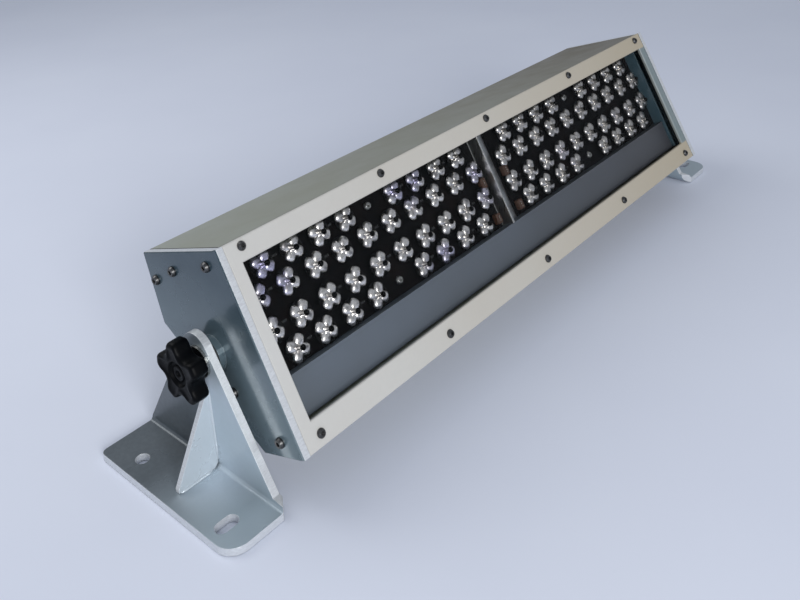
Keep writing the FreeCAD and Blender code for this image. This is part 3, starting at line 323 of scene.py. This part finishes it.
MATERIALS = {
    # The housing's far end is darker: painted shade of the light's fall-off.
    "housing": painted(
        "housing_paint", srgb(158, 162, 150), other=srgb(148, 150, 134), worn=srgb(196, 198, 190),
        roughness=0.42, metallic=0.1, wear=0.35, light_and_shade_turns=[(srgb(98, 91, 76), FALLOFF_SHADE_ALONG_HEAD)]),
    # The end plates darken towards the top: a painted reflection.
    "end": painted(
        "end_paint", srgb(112, 128, 135), other=srgb(104, 120, 126), worn=srgb(206, 212, 214),
        roughness=0.26, metallic=0.3, wear=0.5, peel=0.02, coat=0.35,
        light_and_shade_turns=[(srgb(48, 68, 79), REFLECTION_UP_END_PLATE)]),
    # The bezel darkens towards the far end and on its far member: painted shade.
    "bezel": painted(
        "bezel_paint", srgb(198, 198, 195), other=srgb(193, 191, 186), worn=srgb(224, 224, 218),
        roughness=0.40, light_and_shade_turns=[(srgb(174, 163, 141), FALLOFF_SHADE_ALONG_HEAD),
                               (srgb(118, 130, 132), *SHADED_FAR_BEZEL_MEMBER)]),
    # The cover's far end is darker: painted shade of the light's fall-off.
    "cover": painted(
        "cover_paint", srgb(112, 122, 134), other=srgb(100, 108, 116), worn=srgb(160, 166, 170),
        roughness=0.36, light_and_shade_turns=[(srgb(68, 69, 74), FALLOFF_SHADE_ALONG_HEAD)]),
    # The right liner is darker than the left one: painted shade.
    "liner": painted(
        "liner_paint", srgb(136, 168, 174), other=srgb(112, 146, 152), worn=srgb(150, 164, 164),
        roughness=0.34, wear=0.2, light_and_shade_turns=[(srgb(58, 80, 90), SHADED_PAST_LEFT_LINER)]),
    # The bracket: painted shade towards the rear, a painted highlight before the gusset and
    # painted light on the upright's front.
    "bracket": painted(
        "bracket_paint", srgb(164, 178, 188), other=srgb(152, 166, 174), worn=srgb(236, 240, 242),
        roughness=0.30, metallic=0.25, wear=0.6, peel=0.02, coat=0.25, coat_roughness=0.12,
        light_and_shade_turns=[(srgb(82, 90, 96), SHADE_ALONG_FOOT), (srgb(192, 204, 214), *HIGHLIGHT_BEFORE_GUSSET),
               (srgb(185, 199, 208), *LIGHT_ON_UPRIGHT_FRONT)]),
    # The gusset's paint is a lighter copy of the bracket's: painted light on its lit face.
    "gusset": painted(
        "gusset_lit_paint", srgb(205, 214, 222), other=srgb(196, 206, 213), worn=srgb(236, 240, 242),
        roughness=0.30, metallic=0.25, wear=0.6, peel=0.02, coat=0.25, coat_roughness=0.12),
    # Near-white metal on the sheet's rims: a painted highlight of the lit edges.
    "edge": brushed("lit_rim_metal", srgb(224, 227, 230), roughness=0.42, across=(300, 300, 1500),
                    metallic=0.55),
    "aluminium": brushed("divider_aluminium", srgb(206, 206, 204), roughness=0.3,
                         across=(900, 900, 60)),
    "spreader": brushed("spreader_aluminium", srgb(176, 178, 180), roughness=0.42,
                        across=(20, 900, 900)),
    "steel": brushed("screw_steel", srgb(92, 92, 92), roughness=0.32, across=(900, 900, 900)),
    "stud": brushed("stud_steel", srgb(176, 176, 172), roughness=0.25, across=(60, 1200, 1200)),
    "brass": brushed("insert_brass", srgb(196, 160, 92), roughness=0.28, across=(60, 1200, 1200)),
    "rubber": moulded("seal_rubber", srgb(26, 26, 27), roughness=0.68, grain=700, strength=0.15,
                      specular=0.3),
    "knob": moulded("knob_plastic", srgb(3, 4, 6), roughness=0.4, grain=1100, strength=0.22,
                    specular=0.08),
    "gland": moulded("gland_plastic", srgb(30, 31, 33), roughness=0.42, grain=1300, strength=0.2),
    "disc": moulded("disc_plastic", srgb(44, 45, 46), roughness=0.5, grain=1300, strength=0.15),
    "cup": moulded("cup_black", srgb(4, 4, 5), roughness=0.42, grain=900, strength=0.1,
                   specular=0.07),
    "case": moulded("driver_case", srgb(186, 188, 188), roughness=0.5, grain=800, strength=0.1),
    "terminal": moulded("terminal_plastic", srgb(70, 96, 74), roughness=0.45, grain=900,
                        strength=0.1),
    "tan": moulded("connector_tan", srgb(66, 42, 28), roughness=0.45, grain=900, strength=0.1),
    "chip": moulded("chip_phosphor", srgb(206, 186, 92), roughness=0.4, grain=900, strength=0.1),
    "silver": petal_silver(),
    "board": board_black(),
    "glass": clear_glass(),
    "lens": clear_lens(),
}

FINISH = {
    "housing_extrusion": "housing", "front_bezel": "bezel", "bezel_seal": "rubber",
    "bezel_screws": "steel", "end_plate_screws": "steel", "module_screws": "stud",
    "driver_screws": "stud", "front_glass": "glass", "lower_cover": "cover",
    "heat_spreader": "spreader", "module_divider": "aluminium", "terminal_block": "terminal",
    "gland_body": "gland", "gland_dome": "gland", "gland_seal": "rubber",
    "gland_locknut": "gland", "breather_plug": "gland",
}
for name, side in SIDES:
    FINISH.update({
        f"end_plate_{name}": "end", f"end_seal_{name}": "rubber", f"side_liner_{name}": "liner",
        f"led_board_{name}": "board", f"led_chips_{name}": "chip", f"lens_cups_{name}": "cup",
        f"lenses_{name}": "lens", f"driver_{name}": "case", f"bracket_{name}": "bracket",
        f"gusset_{name}": "gusset", f"friction_disc_{name}": "disc",
        f"pivot_stud_{name}": "stud", f"knob_washer_{name}": "stud",
        f"knob_insert_{name}": "brass", f"knob_{name}": "knob",
    })


def paint_node(node, key):
    """Gives a CAD node its material, in every slot that it has."""
    piece = NODES[node]
    if not piece.material_slots:
        piece.data.materials.append(MATERIALS[key])
    for slot in piece.material_slots:
        slot.material = MATERIALS[key]


for node, key in FINISH.items():
    paint_node(node, key)


# Mesh pieces.

BEVEL_SEGMENTS = 2
BEVEL_ANGLE = math.radians(32)
BROAD_FACE_WEIGHT = 100

# Points nearer than this, in metres, are one point, and faces within this angle are one face.
SAME_POINT = 2e-6
SAME_FACE = math.radians(0.6)


def add_piece(name, bm, keys, body, smooth=True):
    """Turns a bmesh into a piece that rides on a body and has the materials of the keys."""
    mesh = bpy.data.meshes.new(name)
    bmesh.ops.recalc_face_normals(bm, faces=bm.faces)
    bm.to_mesh(mesh)
    bm.free()
    piece = bpy.data.objects.new(name, mesh)
    bpy.context.scene.collection.objects.link(piece)
    for key in keys:
        mesh.materials.append(MATERIALS[key])
    mesh.polygons.foreach_set("use_smooth", [smooth] * len(mesh.polygons))
    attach(piece, body)
    return piece


def with_bevel(piece, width):
    """Rounds the sharp edges and keeps the broad faces flat in their shading."""
    modifier = piece.modifiers.new("edges", "BEVEL")
    modifier.width = width * MM
    modifier.segments = BEVEL_SEGMENTS
    modifier.limit_method = "ANGLE"
    modifier.angle_limit = BEVEL_ANGLE
    modifier.use_clamp_overlap = True
    normals = piece.modifiers.new("normals", "WEIGHTED_NORMAL")
    normals.mode = "FACE_AREA"
    normals.weight = BROAD_FACE_WEIGHT
    normals.thresh = 0
    return piece


def dressed(node, keys, body, choose, bevel):
    """A copy of a CAD node with rounded edges.

    choose(normal, centre) gives the number of each face's material among the keys.
    """
    bm = bmesh.new()
    bm.from_mesh(NODES[node].data)
    bmesh.ops.remove_doubles(bm, verts=bm.verts, dist=SAME_POINT)
    bmesh.ops.dissolve_limit(bm, angle_limit=SAME_FACE, verts=bm.verts, edges=bm.edges)
    bm.normal_update()
    for face in bm.faces:
        face.material_index = choose(face.normal, face.calc_center_median())
    piece = with_bevel(add_piece("dressed_" + node, bm, keys, body), bevel)
    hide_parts(node)


def skin(bm, rows, closed=True):
    """Joins neighbouring rows of points by faces. A closed row goes round, or is one point."""
    for low, high in zip(rows, rows[1:]):
        count = max(len(low), len(high))
        for k in range(count if closed else count - 1):
            corners = (low[k % len(low)], low[(k + 1) % len(low)],
                       high[(k + 1) % len(high)], high[k % len(high)])
            unique = list(dict.fromkeys(corners))
            if len(unique) > 2:
                bm.faces.new(unique)


def circle_row(bm, place, radius, height, count):
    """Points round a circle, or its one centre, where place takes (u, v, height)."""
    if radius == 0:
        return [bm.verts.new(place(0, 0, height))]
    angles = (FULL_TURN * k / count for k in range(count))
    return [bm.verts.new(place(radius * math.cos(angle), radius * math.sin(angle), height))
            for angle in angles]


def add_turned(bm, place, points, count):
    """Adds a turned surface whose points are (radius, height) pairs."""
    skin(bm, [circle_row(bm, place, radius, height, count) for radius, height in points])


# Optics: a black holder, four silvered lobes on a stem and a dark snout over each chip.

# Rows of lenses: the height up the lit face, and whether the row is a long one.
LENS_ROWS = ((41.9, False), (22.6, True), (-2.1, True), (-21.4, False))
LONG_ROW = 10
SHORT_ROW = 9
SCREW_INDEX = 4
LENS_PITCH = 28.0
FIRST_LENS = 22.45
BOARD_Y = -31.0

# Each holder sits a few degrees off its neighbours, as hand-fitted ones do.
OFFSET_STRIDE = 37
OFFSET_CYCLE = 11
OFFSET_DEGREES = 1.6

# Turned surfaces of the optics: (radius, height above the board) in millimetres.
HOLDER = ((4.8, 0.2), (5.4, 0.2), (9.6, 2.3), (10.3, 2.7), (10.5, 3.1), (10.4, 3.4), (10.1, 3.5),
          (9.8, 3.2), (9.4, 3.0), (2.4, 3.0))
STEM = ((3.4, 4.0), (2.5, 6.0), (2.1, 8.6), (2.05, 9.2))
SNOUT = ((2.05, 9.1), (2.25, 9.3), (2.3, 10.1), (2.1, 10.5), (1.7, 10.6), (1.5, 10.4), (1.3, 9.4),
         (0, 9.3))
HOLDER_COUNT = 28
STEM_COUNT = 16

LOBES = 4
LOBE_REACH = 5.5
LOBE_LONG = 4.8
LOBE_WIDE = 4.4
LOBE_TALL = 3.2
LOBE_BASE = 2.9
LOBE_TURN = -35.0
LOBE_SQUARENESS = 3.2
LOBE_FULLNESS = 0.8
LOBE_STEPS = 6
LOBE_COUNT = 16


def lens_places(side):
    """The centres of one side's lenses, as (x, height). A screw has one place of a short row."""
    for height, is_long in LENS_ROWS:
        for index in range(LONG_ROW if is_long else SHORT_ROW):
            if is_long or index != SCREW_INDEX:
                step = index if is_long else index + 0.5
                yield side * (FIRST_LENS + step * LENS_PITCH), height


def lens_frame(x, z, turn):
    """Gives scene points for a lens: u along the head, v up the lit face, w out of the board."""
    cosine, sine = math.cos(turn), math.sin(turn)

    def place(u, v, w):
        return head(x + u * cosine - v * sine, BOARD_Y - w, z + u * sine + v * cosine)
    return place


def small_turn(index):
    step = (index * OFFSET_STRIDE) % OFFSET_CYCLE - OFFSET_CYCLE // 2
    return math.radians(step * OFFSET_DEGREES)


def add_lobe(bm, place, turn):
    """One silvered lobe: a low dome on a rounded square."""
    cosine, sine = math.cos(turn), math.sin(turn)

    def lobe_place(u, v, w):
        reach = LOBE_REACH + u
        return place(reach * cosine - v * sine, reach * sine + v * cosine, w)
    rows = []
    for step in range(LOBE_STEPS):
        lift = math.radians(90 * step / LOBE_STEPS)
        row = []
        for k in range(LOBE_COUNT):
            angle = FULL_TURN * k / LOBE_COUNT
            square = (abs(math.cos(angle)) ** LOBE_SQUARENESS
                      + abs(math.sin(angle)) ** LOBE_SQUARENESS) ** (-1 / LOBE_SQUARENESS)
            u = LOBE_LONG * square * math.cos(lift) * math.cos(angle)
            v = LOBE_WIDE * square * math.cos(lift) * math.sin(angle)
            w = LOBE_BASE + LOBE_TALL * math.sin(lift) ** LOBE_FULLNESS
            row.append(bm.verts.new(lobe_place(u, v, w)))
        rows.append(row)
    rows.append([bm.verts.new(lobe_place(0, 0, LOBE_BASE + LOBE_TALL))])
    skin(bm, rows)


def build_optics(name, side):
    holders, lobes = bmesh.new(), bmesh.new()
    for index, (x, z) in enumerate(lens_places(side)):
        place = lens_frame(x, z, small_turn(index))
        add_turned(holders, place, HOLDER, HOLDER_COUNT)
        add_turned(holders, place, SNOUT, STEM_COUNT)
        add_turned(lobes, place, STEM, STEM_COUNT)
        for lobe in range(LOBES):
            add_lobe(lobes, place, math.radians(360 / LOBES * lobe + LOBE_TURN))
    cups = add_piece("lens_holders_" + name, holders, ["cup"], "lamp_head")
    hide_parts("lens_cups_" + name)
    silver = add_piece("lens_lobes_" + name, lobes, ["silver"], "lamp_head")
    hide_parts("lenses_" + name)


# Small parts on the boards, in millimetres: half sizes, top above the board, bevel.

RESISTOR = {"half_length": 1.6, "half_width": 0.8, "top": 1.1, "bevel": 0.12}
PAD = {"half_length": 0.6, "half_width": 0.9, "top": 0.25, "bevel": 0.08}
CONNECTOR = {"half_length": 3.2, "half_width": 4.6, "top": 5.2, "bevel": 0.5}
PIN = {"half_length": 0.5, "half_width": 0.45, "base": 5.1, "top": 5.8, "bevel": 0.1}
RESISTOR_RISE = 1.2
PAD_OFFSET = 2.2
BOARD_REACH = 280
HOLDER_CLEARANCE = 12.6
CONNECTOR_X = 17.5
CONNECTOR_HEIGHTS = (10.2, -23.5)
PIN_OFFSETS = (-2, 0, 2)


def add_block(bm, x, z, half_length, half_width, top, bevel, base=0.0):
    """A block over the place (x, z) of a board, from its base to its top, with bevelled edges."""
    low = (x - half_length, BOARD_Y - top, z - half_width)
    high = (x + half_length, BOARD_Y - base, z + half_width)
    made = bmesh.ops.create_cube(bm, size=1)["verts"]
    for vert in made:
        shares = [0.5 + coordinate for coordinate in vert.co]
        vert.co = head(*(near + (far - near) * share
                         for near, far, share in zip(low, high, shares)))
    edges = {edge for vert in made for edge in vert.link_edges}
    bmesh.ops.bevel(bm, geom=list(edges), offset=bevel * MM, segments=2, affect="EDGES")


def build_board_parts(name, side):
    """Small parts between the holders: resistors, pads and the connectors at the inner end."""
    resistors, pads, connectors = bmesh.new(), bmesh.new(), bmesh.new()
    places = list(lens_places(side))
    for x, z in places[::2]:
        u, v = x + side * LENS_PITCH / 2, z + RESISTOR_RISE
        if abs(u) > BOARD_REACH or any(
                abs(u - a) < HOLDER_CLEARANCE and abs(v - b) < HOLDER_CLEARANCE
                for a, b in places):
            continue
        add_block(resistors, u, v, **RESISTOR)
        for end in (-1, 1):
            add_block(pads, u + end * PAD_OFFSET, v, **PAD)
    x = side * CONNECTOR_X
    for z in CONNECTOR_HEIGHTS:
        add_block(connectors, x, z, **CONNECTOR)
        for offset in PIN_OFFSETS:
            add_block(pads, x, z + offset, **PIN)
    for prefix, bm, key in (("resistors_", resistors, "disc"), ("pads_", pads, "stud"),
                            ("connectors_", connectors, "tan")):
        add_piece(prefix + name, bm, [key], "lamp_head", smooth=False)


# Star knobs: five rounded lobes round a dished hub.

KNOB_RADIUS = 23.0
KNOB_LOBES = 5
SCALLOP_REACH = 26.0
SCALLOP_RADIUS = 10.0
KNOB_COUNT = 150
# The outline is averaged over this many points on either side.
KNOB_SOFTENING = 2

# Depths are below the knob's outer end, in millimetres.
# The rim goes by (inset from the outline, depth), the face and the hub by (radius, depth).
KNOB_RIM = ((2.6, 12.98), (1.1, 12.7), (0.3, 11.8), (0.0, 10.4), (0.0, 3.4), (0.3, 1.8),
            (1.1, 0.7), (2.4, 0.1), (4.0, 0.05), (4.9, 0.5))
KNOB_FACE = ((10.6, 1.1), (9.9, 1.0), (9.3, 1.5), (8.8, 3.1), (8.2, 3.6), (6.0, 3.6), (5.7, 3.3),
             (5.5, 2.5), (5.1, 2.2), (2.7, 2.2), (2.4, 2.5), (2.3, 3.5), (0, 3.6))
KNOB_HUB = ((7.1, 17.9), (10.4, 17.9), (11.0, 17.4), (11.0, 13.6), (11.8, 12.8))
HUB_COUNT = 48


def star_radius(angle):
    """The knob's outline: a round, cut by scallops that are centred outside it."""
    nearest = KNOB_RADIUS
    for lobe in range(KNOB_LOBES):
        offset = angle - FULL_TURN * lobe / KNOB_LOBES
        across = SCALLOP_REACH * math.sin(offset)
        along = SCALLOP_REACH * math.cos(offset)
        if along > 0 and abs(across) < SCALLOP_RADIUS:
            cut = math.sqrt(SCALLOP_RADIUS * SCALLOP_RADIUS - across * across)
            nearest = min(nearest, along - cut)
    return nearest


def build_knob(name, side):
    """A knob whose depths are measured from the outer end of the CAD's knob."""
    low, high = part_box("knob_" + name)
    tip = max(abs(low.x), abs(high.x)) / MM

    def place(u, v, depth):
        return head(side * (tip - depth), u, v)
    angles = [FULL_TURN * k / KNOB_COUNT for k in range(KNOB_COUNT)]
    sharp = [star_radius(angle) for angle in angles]
    window = range(-KNOB_SOFTENING, KNOB_SOFTENING + 1)
    outline = [sum(sharp[(k + shift) % KNOB_COUNT] for shift in window) / len(window)
               for k in range(KNOB_COUNT)]
    bm = bmesh.new()
    rows = []
    for inset, depth in KNOB_RIM:
        rows.append([bm.verts.new(place((radius - inset) * math.cos(angle),
                                        (radius - inset) * math.sin(angle), depth))
                     for angle, radius in zip(angles, outline)])
    for radius, depth in KNOB_FACE:
        rows.append(circle_row(bm, place, radius, depth, KNOB_COUNT))
    skin(bm, rows)
    add_turned(bm, place, KNOB_HUB, HUB_COUNT)
    knob = add_piece("star_knob_" + name, bm, ["knob"], name + "_knob")
    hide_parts("knob_" + name)


# Weld beads where the gussets meet the brackets, in millimetres and degrees.

BEAD_RADIUS = 1.4
BEAD_STEP = 0.8
BEAD_LEAST_STEPS = 8
BEAD_RIPPLE = 0.10
BEAD_RIPPLE_LENGTH = 2.2
# A bead's end is this share of its full size, and it swells at this rate along its length.
BEAD_END_SHARE = 0.25
BEAD_SWELL = 6
BEAD_ANGLES = (-8, 15, 38, 61, 84, 98)
# Beads start this far from the corner of the foot and the upright, and stop short of the ends.
BEAD_START = 6
BEAD_STOP = 1.5


def add_bead(bm, start, end, up, out):
    """A rippled bead from start to end, bulging between the directions up and out."""
    length = (end - start).length
    along = (end - start) / length
    steps = max(BEAD_LEAST_STEPS, int(length / (BEAD_STEP * MM)))
    rows = []
    for step in range(steps + 1):
        share = step / steps
        taper = min(1.0, BEAD_SWELL * share + BEAD_END_SHARE,
                    BEAD_SWELL * (1 - share) + BEAD_END_SHARE)
        wave = math.sin(share * length / (BEAD_RIPPLE_LENGTH * MM) * FULL_TURN)
        size = BEAD_RADIUS * MM * taper * (1.0 + BEAD_RIPPLE * wave)
        centre = start + along * length * share
        rows.append([bm.verts.new(centre + (up * math.cos(turn) + out * math.sin(turn)) * size)
                     for turn in map(math.radians, BEAD_ANGLES)])
    skin(bm, rows, closed=False)


def build_welds(name, side):
    """Beads on both sides of a gusset, along the foot and up the upright."""
    low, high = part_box("gusset_" + name)
    upright, toe = (low.x, high.x) if side > 0 else (high.x, low.x)
    start, stop = BEAD_START * MM, BEAD_STOP * MM
    bm = bmesh.new()
    for y, out in ((low.y, Vector((0, -1, 0))), (high.y, Vector((0, 1, 0)))):
        add_bead(bm, Vector((upright + side * start, y, low.z)),
                 Vector((toe - side * stop, y, low.z)), Vector((0, 0, 1)), out)
        add_bead(bm, Vector((upright, y, low.z + start)),
                 Vector((upright, y, high.z - stop)), Vector((side, 0, 0)), out)
    add_piece("weld_beads_" + name, bm, ["gusset"], name + "_bracket")


# The gland's cap nut, with grip flutes.

# (radius in millimetres, share of the way from the cap's foot to its top)
CAP_PROFILE = ((10.0, 0.0), (10.5, 0.04), (10.5, 0.42), (10.2, 0.52), (9.6, 0.72), (8.7, 0.90),
               (8.1, 0.985), (7.7, 1.0), (7.1, 0.99), (6.9, 0.95), (6.9, 0.75))
CAP_COUNT = 96
FLUTES = 12
FLUTE_DEPTH = 0.55
# The flutes run over this many of the profile's points.
FLUTED_POINTS = 4


def build_gland_cap():
    mount = next(mount for mount in frame["record"]["mounts"] if mount["name"] == "cable_entry")
    axis = Vector(mount["axis"]).normalized()
    low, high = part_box("gland_body")
    base = (low + high) / 2
    side = Vector((1, 0, 0))
    up = axis.cross(side)
    reach = [(vert.co - base).dot(axis) for vert in NODES["gland_dome"].data.vertices]
    foot, top = min(reach), max(reach)
    bm = bmesh.new()
    rows = []
    for index, (radius, share) in enumerate(CAP_PROFILE):
        centre = axis * (foot + (top - foot) * share)
        row = []
        for k in range(CAP_COUNT):
            angle = FULL_TURN * k / CAP_COUNT
            flute = max(0.0, math.cos(angle * FLUTES)) if index < FLUTED_POINTS else 0.0
            size = (radius - FLUTE_DEPTH * flute) * MM
            row.append(bm.verts.new(base + centre + side * (size * math.cos(angle))
                                    + up * (size * math.sin(angle))))
        rows.append(row)
    skin(bm, rows)
    cap = add_piece("gland_cap", bm, ["gland"], "lamp_head")
    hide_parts("gland_dome")


# Which faces of the sheet metal are painted, and which rims get near-white metal as a painted
# highlight.

PAINTED, LIT_RIM = 0, 1
# A normal's part along an axis, above or below which a face looks along it or across it.
ALONG_AXIS = 0.7
ACROSS_AXIS = 0.3
BOSS_REACH = 20 * MM
FOOT_TOP = 6.1 * MM
BEND_TOP = 9.5 * MM


def plate_faces(normal, centre):
    """The flat sides and the boss are painted; the rim gets near-white metal as a painted
    highlight.
    """
    if math.hypot(centre.y - PIVOT_Y * MM, centre.z - PIVOT_Z * MM) < BOSS_REACH:
        return PAINTED
    return PAINTED if abs(normal.x) > ALONG_AXIS else LIT_RIM


def bracket_faces(normal, centre):
    """The rims of the upright and of the foot get near-white metal as a painted highlight, the
    broad faces and the bend paint.
    """
    if centre.z < FOOT_TOP:
        return LIT_RIM if abs(normal.z) < ACROSS_AXIS else PAINTED
    return LIT_RIM if abs(normal.x) < ACROSS_AXIS and centre.z > BEND_TOP else PAINTED


# The gusset's broad faces are painted, its rims get the near-white metal of a painted highlight.
def gusset_faces(normal, centre):
    return PAINTED if abs(normal.y) > ALONG_AXIS else LIT_RIM


def all_painted(normal, centre):
    return PAINTED


# Bevels in millimetres.
THIN_BEVEL = 0.5
BRACKET_BEVEL = 0.6

for name, side in SIDES:
    build_optics(name, side)
    build_board_parts(name, side)
    build_knob(name, side)
    build_welds(name, side)
    dressed("end_plate_" + name, ["end", "edge"], "lamp_head",
            plate_faces, THIN_BEVEL)
    dressed("bracket_" + name, ["bracket", "edge"], name + "_bracket",
            bracket_faces, BRACKET_BEVEL)
    dressed("gusset_" + name, ["gusset", "edge"], name + "_bracket",
            gusset_faces, THIN_BEVEL)
dressed("front_bezel", ["bezel"], "lamp_head", all_painted, THIN_BEVEL)
build_gland_cap()


# Floor, light and camera, in metres. The camera's lens and sensor are in millimetres.

FLOOR_HALF_SIZE = 7
FLOOR_DROP = 0.0004

WORLD_COLOUR = srgb(226, 232, 242)
WORLD_STRENGTH = 0.52

# Square lamps: name, place, target, side and watts.
LAMPS = (
    ("key", (-1.05, -1.85, 0.86), (-0.15, -0.05, 0.08), 0.75, 28),
    ("top", (-0.5, 0.9, 1.2), (-0.15, -0.05, 0.1), 0.9, 7),
)

# The camera as solved from the photograph: its place, its directions and its lens.
CAMERA_PLACE = (-0.6102, -0.5030, 0.4576)
CAMERA_RIGHT = (0.676, -0.734, -0.069)
CAMERA_FORWARD = (0.689, 0.663, -0.294)
CAMERA_SHIFT = (0.0465, -0.2956)
SENSOR_WIDTH = 36
FOCAL_LENGTH = 40.41
CLIP_START = 0.02


def build_floor():
    bm = bmesh.new()
    bmesh.ops.create_grid(bm, x_segments=1, y_segments=1, size=FLOOR_HALF_SIZE)
    for vert in bm.verts:
        vert.co.z = -FLOOR_DROP
    mesh = bpy.data.meshes.new("floor")
    bm.to_mesh(mesh)
    bm.free()
    floor = bpy.data.objects.new("floor", mesh)
    bpy.context.scene.collection.objects.link(floor)
    look = Look("floor_pale", roughness=0.85, specular=0.2)
    drift = look.patches(scale=3, detail=3, low=0.3, high=0.7)
    look.colour(look.mix(drift, srgb(216, 221, 235), srgb(220, 225, 238)))
    mesh.materials.append(look.material)


def build_world():
    world = bpy.data.worlds.new("studio")
    world.use_nodes = True
    sky = world.node_tree.nodes["Background"]
    sky.inputs["Color"].default_value = WORLD_COLOUR
    sky.inputs["Strength"].default_value = WORLD_STRENGTH
    bpy.context.scene.world = world


def build_camera():
    right = Vector(CAMERA_RIGHT).normalized()
    forward = Vector(CAMERA_FORWARD)
    forward = (forward - right * forward.dot(right)).normalized()
    up = right.cross(forward)
    turn = Matrix((right, up, -forward)).transposed().to_4x4()
    data = bpy.data.cameras.new("camera")
    data.sensor_width = SENSOR_WIDTH
    data.lens = FOCAL_LENGTH
    data.shift_x, data.shift_y = CAMERA_SHIFT
    data.clip_start = CLIP_START
    camera = bpy.data.objects.new("camera", data)
    camera.matrix_world = Matrix.Translation(CAMERA_PLACE) @ turn
    bpy.context.scene.collection.objects.link(camera)
    bpy.context.scene.camera = camera


def add_lamp(name, place, target, side, power):
    data = bpy.data.lights.new(name, "AREA")
    data.shape = "RECTANGLE"
    data.size = data.size_y = side
    data.energy = power
    lamp = bpy.data.objects.new(name, data)
    lamp.location = place
    lamp.rotation_euler = (Vector(target) - Vector(place)).to_track_quat("-Z", "Y").to_euler()
    bpy.context.scene.collection.objects.link(lamp)


build_floor()
build_world()
build_camera()
for lamp in LAMPS:
    add_lamp(*lamp)
bpy.context.scene.view_settings.view_transform = "Standard"
